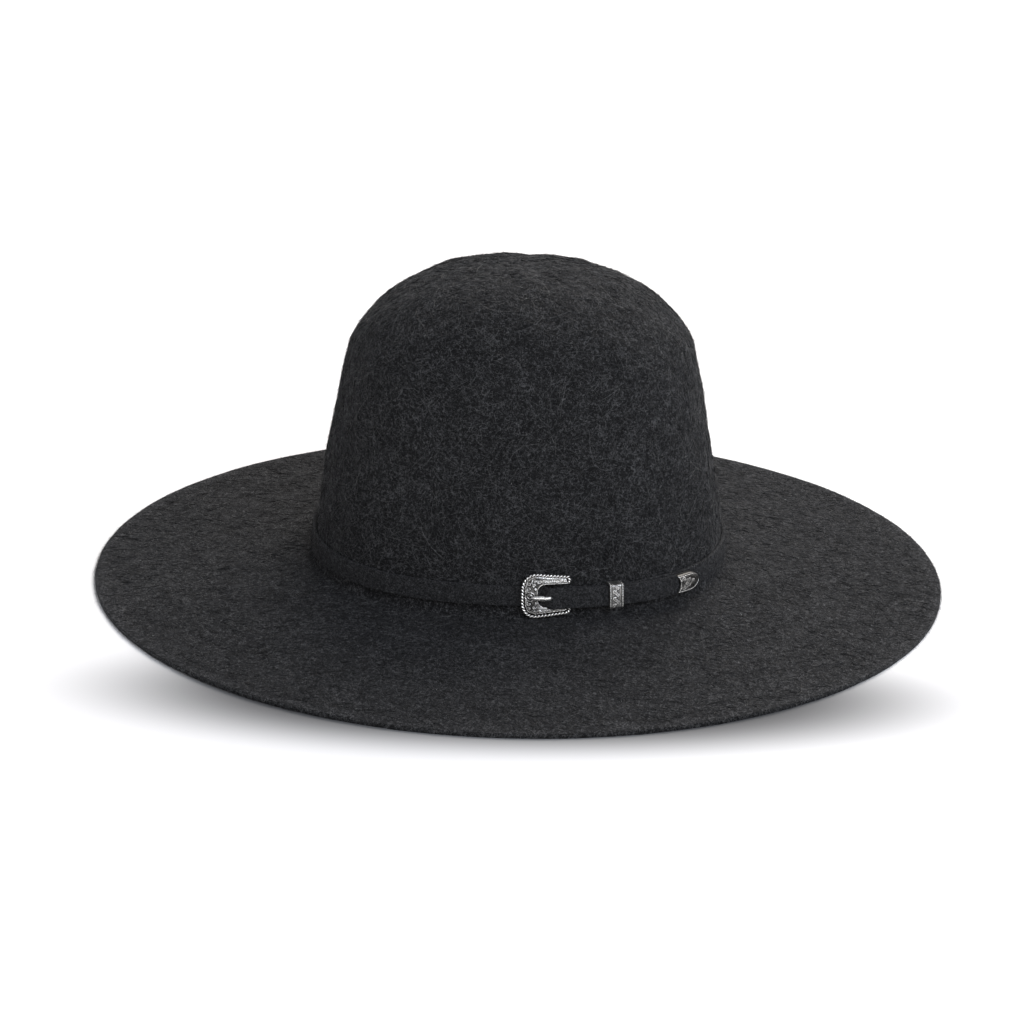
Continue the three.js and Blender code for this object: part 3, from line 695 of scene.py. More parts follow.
def part_at_crease(run, angle):
    """Moves fibres on the crown sideways out of the crease, baring the dark ground there as painted
    shade.
    """
    parting = Dent(CREASE_ANGLE, CREASE_HEIGHT, along=CREASE_PARTING, up=CREASE_REACH, depth=0)
    near, side = at_dent(parting, run, angle)
    return angle + side * near * CREASE_PARTING / least_radius(run)


# Fibres keep this far from the top and the edge, and step as if no nearer the top than this
POLE_GAP = 0.3
EDGE_GAP = 0.2
LEAST_RADIUS = 3

# Felt that the strap presses flat, as shares of the strap's height above and below its
# middle, and the share of the fibres that stay there. Below the strap's lower edge the band
# is bared to the felt's dark ground as painted shade under the strap.
PRESSED_ABOVE = 0.45
PRESSED_AND_SHADED_BELOW = 0.85
PRESSED_SHARE = 0.05

# Fibres of the brim's cut edge grow this far in from it
EDGE_BAND = 0.4


def least_radius(run):
    return np.maximum(section_at(run)[0], LEAST_RADIUS)


def upper_sample(layer):
    """Places spread evenly over the outside of the crown and the top of the brim, up to
    the layer's end, but for the felt that the strap presses flat and a band below the strap
    that is left bare as painted shade."""
    count = layer.count
    radius, height = section_at(section_length)
    pressed_and_shaded = (section_length < root_at) & (height < strap_middle + STRAP_HEIGHT * PRESSED_ABOVE)
    pressed_and_shaded &= height > strap_middle - STRAP_HEIGHT * PRESSED_AND_SHADED_BELOW
    share = np.where(pressed_and_shaded, PRESSED_SHARE, 1) * (section_length < layer.end)
    area = share[1:] * (radius[1:] + radius[:-1]) / 2 * np.diff(section_length)
    weight = np.r_[0, np.cumsum(area)]
    run = np.interp(rng.random(count) * weight[-1], weight, section_length)
    angle = part_at_crease(run, rng.random(count) * TAU)
    return run, angle, least_radius(run), flow(run, angle)


def upper_surface(run, angle, lift):
    return felt_point(np.clip(run, POLE_GAP, FELT_END - EDGE_GAP), angle, lift)


def under_surface(run, angle, lift):
    points = upper_surface(run, angle, -FELT_THICKNESS - lift)
    points[:, 2] = np.maximum(points[:, 2], 0.02)
    return points


def edge_sample(layer):
    count = layer.count
    run = FELT_END - EDGE_BAND * rng.random(count)
    angle = rng.random(count) * TAU
    return run, angle, np.full(count, brim_radius), rng.uniform(-0.9, 0.9, count)


def edge_surface(run, angle, lift):
    """Fibres that stand out from the brim's cut edge."""
    over = np.maximum(0, run - FELT_END + EDGE_BAND)
    points = felt_point(np.minimum(run, FELT_END - EDGE_GAP), angle, -np.abs(lift) * 0.9)
    points[:, :2] += unit(points[:, :2]) * over[:, None]
    points[:, 2] = np.maximum(points[:, 2] - 0.2, 0.05)
    return points


# Layers of hair, with lengths in mm, stray in radians from the flow, and an end along the
# section where the layer stops short of the brim's edge
Layer = namedtuple("Layer", "name shade count length width lift stray joints end", defaults=[FELT_END])
UPPER_LAYERS = (
    Layer("nap_black", "black", 32000, 5.0, 0.23, 0.35, 0.7, 4),
    Layer("nap_charcoal", "charcoal", 28000, 4.2, 0.18, 0.42, 0.7, 4),
    Layer("nap_grey", "grey", 32000, 3.2, 0.14, 0.5, 0.6, 3),
    Layer("nap_long", "light", 6000, 10.0, 0.15, 0.55, 0.5, 7, end=root_at),
    Layer("nap_curls", "light", 9000, 3.4, 0.15, 0.55, 1.6, 5),
    Layer("nap_loose", "grey", 6000, 3.4, 0.1, 1.8, 1.5, 4),
    Layer("nap_lint", "lint", 260, 0.9, 0.16, 0.5, 3.0, 3),
)
UNDER_LAYER = Layer("nap_under", "charcoal", 11000, 4.2, 0.16, 0.2, 0.9, 4)
# The brim's cut edge has fuzz of the light shade: real fibres, made light as painted light that lifts
# the edge out of its shade.
EDGE_PAINTED_LIGHT_LAYER = Layer("nap_edge_painted_light", "light", 9000, 1.1, 0.11, 2.4, 0.7, 3)
STRAP_LAYERS = (
    Layer("strap_nap", "charcoal", 14000, 1.5, 0.12, 0.18, 0.6, 3),
    Layer("strap_nap_grey", "grey", 9000, 1.3, 0.13, 0.22, 0.8, 3),
)


def felt_fibres():
    for layer in UPPER_LAYERS:
        fibres(layer, upper_surface, upper_sample)
    fibres(UNDER_LAYER, under_surface, upper_sample)
    fibres(EDGE_PAINTED_LIGHT_LAYER, edge_surface, edge_sample)


# Strap

wall_angles = -math.pi / 2 + np.linspace(0, TAU, 2881)
wall_line = np.stack(oval(np.full(len(wall_angles), crown_radius), wall_angles), axis=1)
wall_run = distances(wall_line)
WALL_LENGTH = wall_run[-1]
wall_forward = np.gradient(wall_line, axis=0)
wall_forward[0] = wall_forward[-1] = (1, 0)
wall_forward = unit(wall_forward)


def band_spot(along, level):
    """Plan point a distance along the foot of the crown wall and a level outside it."""
    along = np.mod(along, WALL_LENGTH)
    x, y = (np.interp(along, wall_run, wall_line[:, k]) for k in (0, 1))
    forward_x, forward_y = (np.interp(along, wall_run, wall_forward[:, k]) for k in (0, 1))
    return x + forward_y * level, y - forward_x * level


def bent(start_along, middle_height):
    """Bends what is drawn flat, as along, up and outward, round the leaning wall."""
    def place(points):
        height = middle_height + points[:, 1]
        x, y = band_spot(start_along + points[:, 0], points[:, 2] - wall_recess(height))
        return np.c_[x, y, height]
    return place


half_strap = STRAP_THICKNESS / 2
half_fold = FOLD_THICKNESS / 2
low_level = CLEARANCE + half_strap
base_level = CLEARANCE + max(FOLD_THICKNESS, KEEPER_WALL) + CLEARANCE + half_strap
tail_level = base_level + STRAP_THICKNESS + CLEARANCE
tip_level = low_level + half_strap + CLEARANCE + TIP_WALL + CLEARANCE + half_strap
bar_level = CLEARANCE + FOLD_THICKNESS + CLEARANCE + BAR_RADIUS
turn_radius = BAR_RADIUS + CLEARANCE + half_fold
over_bar_level = bar_level + turn_radius + half_fold + CLEARANCE + half_strap
plate_back = low_level + half_strap + CLEARANCE
plate_front = plate_back + PLATE_THICKNESS

bar_along = BUCKLE_START + BUCKLE_LENGTH - BAR_SETBACK
climb_start = BUCKLE_START + BOW_WIDTH + OPENING_CORNER * 0.45
keeper_end = KEEPER_START + KEEPER_LENGTH
layer_step = tail_level - low_level

half_opening = STRAP_HEIGHT / 2 + OPENING_PLAY
tip_half_height = TIP_HEIGHT / 2


# Places that the strap passes, and the number of steps from each to the next. Before them
# come the fold behind the bar and the turn round it, with steps of their own.
Stop = namedtuple("Stop", "along level thickness half_height steps")
FOLD_STEPS = 12
TURN_STEPS = 24


def strap_line():
    """Middle of the strap as rows of along, level, thickness and half height."""
    full = STRAP_HEIGHT / 2
    tongue = tip_half_height - TIP_WALL - CLEARANCE
    rows = []
    for share in np.linspace(0, 1, FOLD_STEPS, endpoint=False):
        along = bar_along + FOLD_LENGTH * (1 - share)
        rows.append((along, bar_level - turn_radius, FOLD_THICKNESS, full))
    for turn in np.linspace(0, math.pi, TURN_STEPS, endpoint=False):
        angle = 1.5 * math.pi - turn
        along = bar_along + turn_radius * math.cos(angle)
        rows.append((along, bar_level + turn_radius * math.sin(angle), FOLD_THICKNESS, full))
    past_keeper = keeper_end + layer_step
    stops = (
        Stop(bar_along, bar_level + turn_radius, FOLD_THICKNESS, full, 24),
        Stop(bar_along + FOLD_LENGTH, base_level, STRAP_THICKNESS, full, 20),
        Stop(past_keeper, base_level, STRAP_THICKNESS, full, 20),
        Stop(past_keeper + layer_step * 5, low_level, STRAP_THICKNESS, full, 260),
        Stop(WALL_LENGTH + climb_start, low_level, STRAP_THICKNESS, full, 24),
        Stop(WALL_LENGTH + bar_along, over_bar_level, STRAP_THICKNESS, full, 20),
        Stop(WALL_LENGTH + bar_along + FOLD_LENGTH, tail_level, STRAP_THICKNESS, full, 20),
        Stop(WALL_LENGTH + past_keeper, tail_level, STRAP_THICKNESS, full, 24),
        Stop(WALL_LENGTH + TIP_START - CLEARANCE, tip_level, STRAP_THICKNESS, full, 1),
        Stop(WALL_LENGTH + TIP_START, tip_level, STRAP_THICKNESS, tongue, 6),
        Stop(WALL_LENGTH + TIP_START + TIP_INSERT, tip_level, STRAP_THICKNESS, tongue, 0),
    )
    for stop, following in zip(stops, stops[1:]):
        for share in np.linspace(0, 1, stop.steps, endpoint=False):
            ease = (1 - math.cos(math.pi * share)) / 2
            along = stop.along + (following.along - stop.along) * share
            level = stop.level + (following.level - stop.level) * ease
            thickness = stop.thickness + (following.thickness - stop.thickness) * ease
            rows.append((along, level, thickness, stop.half_height))
    rows.append(stops[-1][:4])
    return np.array(rows)


strap_rows = strap_line()
strap_forward = directions(strap_rows[:, :2])
strap_outward = np.stack([-strap_forward[:, 1], strap_forward[:, 0]], axis=1)


def corner_fan(steps):
    """Round corners of a section: side across, side up, and the arcs' cosines and sines."""
    sides = np.repeat([(1, 1), (-1, 1), (-1, -1), (1, -1)], steps, axis=0)
    quarters = np.repeat(np.arange(4), steps) + np.tile(np.linspace(0, 1, steps), 4)
    angle = quarters * math.pi / 2
    return sides[:, 0], sides[:, 1], np.cos(angle), np.sin(angle)


# Waves of the strap's cut edges: height in mm, distance for each radian, and phase
STRAP_EDGE_WAVES = ((0.06, 9, 0), (0.048, 3.7, 1))
CORNER_STEPS = 5


def band_strap():
    side_level, side_up, cosine, sine = corner_fan(CORNER_STEPS)
    along, level, thickness, half_height = strap_rows.T[:, :, None]
    tight = np.minimum(1, thickness / 2 / STRAP_CORNER * 0.9)
    corner = STRAP_CORNER * tight
    offset = side_level * (thickness / 2 - corner) + corner * cosine
    up = side_up * (half_height - STRAP_CORNER) + STRAP_CORNER * sine
    uneven = sum(size * np.sin(along / run + phase) for size, run, phase in STRAP_EDGE_WAVES)
    points = np.stack([
        along + strap_outward[:, :1] * offset,
        up + uneven * side_up,
        level + strap_outward[:, 1:] * offset,
    ], axis=-1)
    rows, columns = points.shape[:2]
    flat = points.reshape(-1, 3)
    ends = np.stack([points[0].mean(axis=0), points[-1].mean(axis=0)])
    flat = bent(0, strap_middle)(np.vstack([flat, ends]))
    ring = np.arange(columns)
    faces = [
        grid_quads(rows, columns, wrap_columns=True),
        end_cap(ring, len(flat) - 2),
        end_cap((rows - 1) * columns + ring, len(flat) - 1, flip=True),
    ]
    piece = add_mesh("felt_strap", flat, np.vstack(faces), STRAP_FELT)
    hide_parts("band_strap")


# Start of the strap that its fold hides, and the share of its height above and below its
# middle where hair grows, which reaches over its upper edge
HIDDEN_RUN = 40
HAIR_BELOW = -0.5
HAIR_ABOVE = 0.62


def strap_fibres():
    run = distances(strap_rows[:, :2])
    half_height = STRAP_HEIGHT / 2
    bend = bent(0, strap_middle)

    def surface(a, b, lift):
        a = np.clip(a, HIDDEN_RUN, run[-1] - TIP_INSERT - 1)
        along, level, thickness = (np.interp(a, run, strap_rows[:, k]) for k in (0, 1, 2))
        out_along, out_level = (np.interp(a, run, strap_outward[:, k]) for k in (0, 1))
        over = np.clip(np.abs(b) - half_height, 0, STRAP_THICKNESS)
        offset = thickness / 2 - over + (over <= 0) * lift
        up = np.sign(b) * (np.minimum(np.abs(b), half_height) + (over > 0) * lift)
        return bend(np.stack([along + out_along * offset, up, level + out_level * offset], axis=1))

    def sample(layer):
        a = rng.random(layer.count) * run[-1]
        b = rng.uniform(HAIR_BELOW, HAIR_ABOVE, layer.count) * STRAP_HEIGHT
        return a, b, np.ones(layer.count), rng.uniform(-1.5, 1.5, layer.count)

    for layer in STRAP_LAYERS:
        fibres(layer, surface, sample)


# Metal, drawn flat as along, up and outward, then bent round the crown

OUTWARD = np.array([0.0, 0.0, 1.0])


def resample(points, count):
    points = np.asarray(points, dtype=float)
    run = distances(points)
    at = np.linspace(0, run[-1], count)
    return np.stack([np.interp(at, run, points[:, k]) for k in range(points.shape[1])], axis=1)


def bezier(*control, count=24):
    share = np.linspace(0, 1, count)[:, None]
    control = [np.array(point, dtype=float) for point in control]
    while len(control) > 1:
        control = [a + (b - a) * share for a, b in zip(control, control[1:])]
    return control[0]


def tube(parts, line, radii, values, sides=8, round_ends=True):
    """Round tube along a line of points."""
    line = np.asarray(line, dtype=float)
    forward = directions(line)
    across = np.cross(forward, OUTWARD)
    size = np.linalg.norm(across, axis=1, keepdims=True)
    least_size = 0.05
    across = np.where(size > least_size, across / np.maximum(size, least_size), [0.0, 1.0, 0.0])
    up = np.cross(across, forward)
    radii = np.broadcast_to(radii, len(line)).copy()
    if round_ends:
        run = distances(line)
        reach = np.minimum(run, run[-1] - run) / radii
        radii *= np.sqrt(np.clip(1 - (1 - np.clip(reach, 0, 1)) ** 2, 0.0004, 1))
    angle = np.linspace(0, TAU, sides, endpoint=False)[:, None]
    ring = across[:, None] * np.cos(angle) + up[:, None] * np.sin(angle)
    shade = np.asarray(values)[..., None] if np.ndim(values) == 1 else values
    parts.grid(line[:, None] + ring * radii[:, None, None], shade, wrap_columns=True)


# Rope edge, as shares of its radius: its core, its two strands and their distance from the
# middle
ROPE_CORE = 0.62
STRAND_RADIUS = 0.54
STRAND_OFFSET = 0.46


def rope(parts, plan, level):
    """Two round strands twisted about a line, over a core painted dark as shade in the grooves."""
    centre = np.c_[plan, np.full(len(plan), level)]
    run = distances(plan)
    forward = directions(plan)
    across = np.c_[forward[:, 1], -forward[:, 0], np.zeros(len(plan))]
    # The core is painted black, as the shade in the grooves between the strands.
    tube(parts, centre, ROPE_RADIUS * ROPE_CORE, 0.0)
    for strand in (0, math.pi):
        turn = (TAU * run / ROPE_PITCH + strand)[:, None]
        offset = across * np.cos(turn) + OUTWARD * np.sin(turn)
        # Each strand is painted bright where it passes the rope's front and dark where it turns back
        # into the grooves: painted shade.
        bright = np.clip((np.sin(turn[:, 0]) - 0.1) / 0.6, 0, 1)
        tube(parts, centre + ROPE_RADIUS * STRAND_OFFSET * offset, ROPE_RADIUS * STRAND_RADIUS, bright)


# Cast scrolls, each a stem that winds to its middle and a lobed leaf round it: place of the
# middle, size in mm, angle where the stem starts, and turns, the other way below zero
Scroll = namedtuple("Scroll", "along up size start turns")
SCROLL_POINTS = 44
SCROLL_CLOSING = 0.85

# The leaf's size, width and turns as shares of the stem's, the angle between their starts
# in radians, and the turn and depth of its lobes
LEAF_SIZE = 1.5
LEAF_WIDTH = 1.4
LEAF_TURNS = 0.55
LEAF_START = 0.4
LOBE_TURN = 1.4
LOBE_DEPTH = 0.45

FAR = 9.0


def spiral(along, up, size, start, turns):
    share = np.linspace(0, 1, SCROLL_POINTS)
    angle = start + turns * TAU * share
    reach = size * (1 - SCROLL_CLOSING * share)
    return np.stack([along + reach * np.cos(angle), up + reach * np.sin(angle)], axis=1)


def on_both_sides(scrolls, length, half_height):
    """Scrolls placed by shares of a face's length and half height, moved to their places
    in mm, with a mirrored one for each that is off the middle."""
    placed = []
    for row in scrolls:
        for side in (1, -1) if row.up else (1,):
            up = row.up * half_height * side
            placed.append(Scroll(row.along * length, up, row.size, row.start * side, row.turns * side))
    return placed


def line_gap(points, line):
    """Distance from points of the face to a line, and the place along it."""
    gap = np.full(len(points), FAR)
    along = np.zeros(len(points))
    for index, spot in enumerate(line):
        distance = np.hypot(points[:, 0] - spot[0], points[:, 1] - spot[1])
        near = distance < gap
        gap = np.where(near, distance, gap)
        along = np.where(near, index, along)
    return gap, along


def bump(gap, width):
    return np.exp(-(gap / width) ** 2)


def engraved(points, scrolls, width):
    """Cast scrollwork at points of a face: height of its ridges and depth of the cuts
    beside them, both from 0 to 1."""
    height = np.zeros(len(points))
    nearest = np.full(len(points), FAR)
    for row in scrolls:
        leaf = row._replace(
            size=row.size * LEAF_SIZE, start=row.start + LEAF_START, turns=row.turns * LEAF_TURNS,
        )
        stem_gap, stem_along = line_gap(points, spiral(*row))
        leaf_gap, leaf_along = line_gap(points, spiral(*leaf))
        beads = 0.9 + 0.1 * np.cos(stem_along)
        lobes = 1 - LOBE_DEPTH + LOBE_DEPTH * np.cos(leaf_along * LOBE_TURN)
        height = np.maximum(height, bump(stem_gap, width) * beads)
        height = np.maximum(height, bump(leaf_gap, width * LEAF_WIDTH) * lobes)
        nearest = np.minimum(nearest, np.minimum(stem_gap, leaf_gap))
    return height, bump(nearest - 2 * width, 0.75 * width)


def frame_outer(inset):
    """Upper half of the buckle's outer edge, from the middle of the bow to the arm's end."""
    top = BUCKLE_HEIGHT / 2 - inset
    end = BUCKLE_LENGTH - inset
    arm_top = ARM_END_HEIGHT / 2 - inset
    corner = max(0.3, ARM_CORNER + 0.6 - inset * 0.5)
    shoulder = BUCKLE_HEIGHT / 2 - BOW_CORNER_HEIGHT
    rounded = bezier((inset, shoulder), (inset, top - BOW_CORNER_HEIGHT * CORNER_PULL),
                     (BOW_CORNER_LENGTH * CORNER_PULL, top), (BOW_CORNER_LENGTH, top))
    arm = bezier((end - corner, arm_top), (end, arm_top), (end, arm_top - corner), count=8)
    return np.vstack([[(inset, 0)], rounded, arm, [(end, half_opening + min(inset, 0.3))]])


def frame_inner(inset):
    corner = OPENING_CORNER + inset
    angle = np.linspace(math.pi, math.pi / 2, 16)
    middle = (BOW_WIDTH + OPENING_CORNER, half_opening - OPENING_CORNER)
    rounded = np.c_[middle[0] + corner * np.cos(angle), middle[1] + corner * np.sin(angle)]
    end = (BUCKLE_LENGTH - ROPE_RADIUS, half_opening + inset)
    return np.vstack([[(BOW_WIDTH - inset, 0)], rounded, [end]])


def mirrored(points):
    lower = points[:0:-1] * np.array([1, -1])
    return np.vstack([lower, points])


# Scrolls on the upper half of the frame, placed by shares of its length and half height
FRAME_SCROLLS = (
    Scroll(0.165, 0.33, size=1.045, start=3.9, turns=-1.04),
    Scroll(0.165, 0.56, size=1.045, start=2.4, turns=1.12),
    Scroll(0.265, 0.67, size=1.1, start=3.5, turns=-1.12),
    Scroll(0.26, 0.47, size=0.825, start=0.6, turns=1.04),
    Scroll(0.295, 0.28, size=0.66, start=2.1, turns=-0.96),
    Scroll(0.1, 0.2, size=0.605, start=1.1, turns=0.96),
    Scroll(0.375, 0.67, size=1.045, start=2.7, turns=1.12),
    Scroll(0.475, 0.655, size=0.935, start=3.5, turns=-1.12),
    Scroll(0.565, 0.65, size=0.88, start=2.7, turns=1.04),
    Scroll(0.65, 0.645, size=0.825, start=3.5, turns=-1.04),
    Scroll(0.735, 0.64, size=0.77, start=2.7, turns=1.04),
    Scroll(0.815, 0.635, size=0.715, start=3.5, turns=-0.96),
    Scroll(0.89, 0.63, size=0.66, start=2.7, turns=0.96),
)
FRAME_RIDGE = 0.2

# Boss on the bow, where the prong rests: its place along the frame, the radius that it
# keeps free of scrolls, its rings, and the cut inside each
BOSS_SPOT = 4.3
BOSS_RADIUS = 2.4
BOSS_RINGS = (1.0, 2.2)
RING_WIDTH = 0.15
RING_CUT_OFFSET = 0.35
RING_CUT_WIDTH = 0.16

# Cross-section of the buckle's plate, as shares of its width: how far it swells in the
# middle, how far it falls from its inner edge to its outer edge, and its raised borders
BELLY = 0.15
DOMING = 0.11
BORDER = 0.05

# Face of the plate in mm: its depth below the plate's front, its ridges, its cuts, and the
# seat under the rope
FACE_DEPTH = 0.45
RIDGE_HEIGHT = 0.4
CUT_DEPTH = 0.14
ROPE_SEAT = 1.2

# Steps along the frame, across its plate, along its rope and along its bar
FRAME_STEPS = 520
PLATE_STEPS = 33
ROPE_STEPS = 700
BAR_STEPS = 24


def buckle_frame():
    parts = Parts()
    plate_inset = 2 * ROPE_RADIUS + GROOVE_WIDTH
    rim = resample(mirrored(frame_outer(ROPE_RADIUS * 0.5)), FRAME_STEPS)
    outer = resample(mirrored(frame_outer(plate_inset)), FRAME_STEPS)
    inner = resample(mirrored(frame_inner(0.0)), FRAME_STEPS)
    across = np.linspace(0, 1, PLATE_STEPS)
    face = outer[None] + (inner - outer)[None] * across[:, None, None]
    scrolls = on_both_sides(FRAME_SCROLLS, BUCKLE_LENGTH, BUCKLE_HEIGHT / 2)
    relief = engraved(face.reshape(-1, 2), scrolls, FRAME_RIDGE)
    height, cuts = (field.reshape(face.shape[:2]) for field in relief)
    gap = np.hypot(face[..., 0] - BOSS_SPOT, face[..., 1])
    height = np.where(gap < BOSS_RADIUS, 0, height)
    cuts = np.where(gap < BOSS_RADIUS, 0, cuts)
    for radius in BOSS_RINGS:
        height = np.maximum(height, bump(gap - radius, RING_WIDTH))
        cuts = np.maximum(cuts, bump(gap - radius + RING_CUT_OFFSET, RING_CUT_WIDTH))
    height = np.maximum(height, bump(np.minimum(across, 1 - across), BORDER)[:, None])
    width = np.linalg.norm(inner - outer, axis=1)
    belly = BELLY * width * np.sin(math.pi * across)[:, None]
    domed = DOMING * width * (1 - across)[:, None] ** 1.2
    front = plate_front - FACE_DEPTH + belly - domed + RIDGE_HEIGHT * height - CUT_DEPTH * cuts
    # Painted light in the frame's colour: the arms lighter as a painted highlight, the ridges bright,
    # and the ground and the cuts beside the ridges dark as painted shade.
    painted_arm_highlight = np.clip((face[..., 0] - BOW_WIDTH) / OPENING_CORNER, 0, 1)
    shade = 0.24 + 0.22 * painted_arm_highlight + 0.75 * height - 0.24 * cuts
    rows = []
    shades = []
    # The seat under the rope is painted black, as shade.
    for border in (rim, outer + (rim - outer) * 0.1):
        rows.append(np.c_[border, np.full(FRAME_STEPS, plate_front - ROPE_SEAT)])
        shades.append(np.zeros(FRAME_STEPS))
    for face_row, front_row, shade_row in zip(face, front, shade):
        rows.append(np.c_[face_row, front_row])
        shades.append(shade_row)
    for border in (inner, rim):
        rows.append(np.c_[border, np.full(FRAME_STEPS, plate_back)])
        shades.append(np.full(FRAME_STEPS, 0.3))
    parts.grid(np.stack(rows), np.stack(shades), wrap_rows=True)
    for end in (0, -1):
        ring = np.stack([row[end] for row in rows])
        middle = np.broadcast_to(ring.mean(axis=0), ring.shape)
        parts.grid(np.stack([ring, middle]), 0.5, wrap_columns=True, flip=end == 0)

    rope_line = resample(mirrored(frame_outer(ROPE_RADIUS)), ROPE_STEPS)
    rope(parts, rope_line, plate_front - ROPE_RADIUS * 0.7)

    bar_reach = half_opening + (BUCKLE_HEIGHT / 2 - half_opening) / 2
    bar = np.zeros((BAR_STEPS, 3)) + (bar_along - BUCKLE_START, 0, bar_level)
    bar[:, 1] = np.linspace(-bar_reach, bar_reach, BAR_STEPS)
    tube(parts, bar, BAR_RADIUS, 0.0, sides=16)
    bend = bent(BUCKLE_START, buckle_middle)

    def place(points):
        return bend(points + np.outer(BUCKLE_TILT * points[:, 0], (0, 1, 0)))

    piece = parts.object("buckle", SILVER, place)
    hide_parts("buckle_frame")


def catmull(points, count):
    points = np.array(points, dtype=float)
    padded = np.vstack([2 * points[0] - points[1], points, 2 * points[-1] - points[-2]])
    out = []
    spans = len(points) - 1
    for at in np.linspace(0, spans, count):
        k = min(int(at), spans - 1)
        t = at - k
        a, b, c, d = padded[k:k + 4]
        out.append(0.5 * (2 * b + (c - a) * t + (2 * a - 5 * b + 4 * c - d) * t ** 2
                          + (3 * b - a - 3 * c + d) * t ** 3))
    return np.array(out)


# Where the prong climbs from its eye through the strap: how far it has come from the
# bar, as a share of its thickness, and how much of the climb is done
PRONG_CLIMB = ((0.25, 0.0), (0.6, 0.5), (1.2, 0.93), (2.1, 1.0))

# The prong's eye is three rings of wire side by side
EYE_RINGS = (-0.6, 0.0, 0.6)
EYE_WIRE = 0.38
EYE_STEPS = 33

# Steps along and round the prong, and as shares of its length, its rounded tip and the
# place and reach of the collar behind it. The collar is wider by a share of its width.
PRONG_STEPS = 70
PRONG_SIDES = 16
TIP_SHARE = 0.07
COLLAR_AT = 0.8
COLLAR_REACH = 0.06
COLLAR_SWELL = 0.25


def buckle_prong():
    parts = Parts()
    eye_radius = BAR_RADIUS + CLEARANCE + EYE_THICKNESS / 2
    angle = np.linspace(0, TAU, EYE_STEPS)
    for across in EYE_RINGS:
        along = bar_along + eye_radius * np.cos(angle)
        level = bar_level + eye_radius * np.sin(angle)
        ring = np.c_[along, np.full(EYE_STEPS, across), level]
        tube(parts, ring, EYE_WIRE, 0.6, round_ends=False)
    half_thickness = PRONG_THICKNESS / 2
    rest_level = plate_front + RELIEF_RADIUS + CLEARANCE + half_thickness
    cross_level = over_bar_level + half_strap + CLEARANCE
    bow_spot = BUCKLE_START + BOW_WIDTH * PRONG_REST
    hook_level = bar_level + eye_radius
    spots = [
        (bar_along - back * PRONG_THICKNESS, 0, hook_level + (cross_level - hook_level) * climb)
        for back, climb in PRONG_CLIMB
    ]
    spots.append(((bar_along + bow_spot) / 2, 0, (cross_level + rest_level) / 2))
    spots.append((bow_spot, 0, rest_level))
    line = catmull(spots, PRONG_STEPS)
    forward = directions(line)
    side = np.stack([forward[:, 2], np.zeros(PRONG_STEPS), -forward[:, 0]], axis=1)
    turn = np.linspace(0, TAU, PRONG_SIDES, endpoint=False)
    share = np.linspace(0, 1, PRONG_STEPS)
    into_tip = np.clip((share - 1 + TIP_SHARE) / TIP_SHARE, 0, 1)
    slim = np.sqrt(np.clip(1 - into_tip ** 2, 0.001, 1))
    collar = 1 + COLLAR_SWELL * np.exp(-((share - COLLAR_AT) / COLLAR_REACH) ** 4)
    wide = PRONG_HEIGHT / 2 * slim * collar
    thick = half_thickness * slim
    points = line[:, None] + side[:, None] * (thick[:, None] * np.cos(turn))[..., None]
    points[..., 1] += wide[:, None] * np.sin(turn)
    parts.grid(points, 1.0, wrap_columns=True)
    piece = parts.object("prong", POLISHED, bent(0, buckle_middle))
    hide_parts("buckle_prong")


def rounded_loop(half_width, half_height, corner, count):
    side_x, side_y, cosine, sine = corner_fan(10)
    x = side_x * (half_width - corner) + corner * cosine
    y = side_y * (half_height - corner) + corner * sine
    closed = np.c_[np.r_[x, x[0]], np.r_[y, y[0]]]
    return resample(closed, count + 1)[:-1]


# Keeper: steps along and round it, corners outside and inside, and the height of its relief
KEEPER_STEPS = 41
KEEPER_SIDES = 220
KEEPER_CORNER = 1.1
KEEPER_INNER_CORNER = 0.4
KEEPER_RELIEF = 0.34

# Its beaded borders and the line beside each: distance from the end, width, and for the
# beads the distance from one to the next. Its scrolls begin further in.
BEADS_AT = 0.55
BEADS_WIDTH = 0.32
BEADS_PITCH = 0.8
LINE_AT = 1.5
LINE_WIDTH = 0.14
SCROLLS_FROM = 1.7

# Its scrolls: height as a share of the strap's, and the side to which each turns
KEEPER_SCROLLS = ((0.43, 1), (0.26, -1), (0.09, 1), (-0.09, -1), (-0.26, 1), (-0.43, -1))
KEEPER_RIDGE = 0.17

# How sharply the relief of keeper and tip ends where their front turns into their sides
FRONT_FROM = 0.7
FRONT_FADE = 6


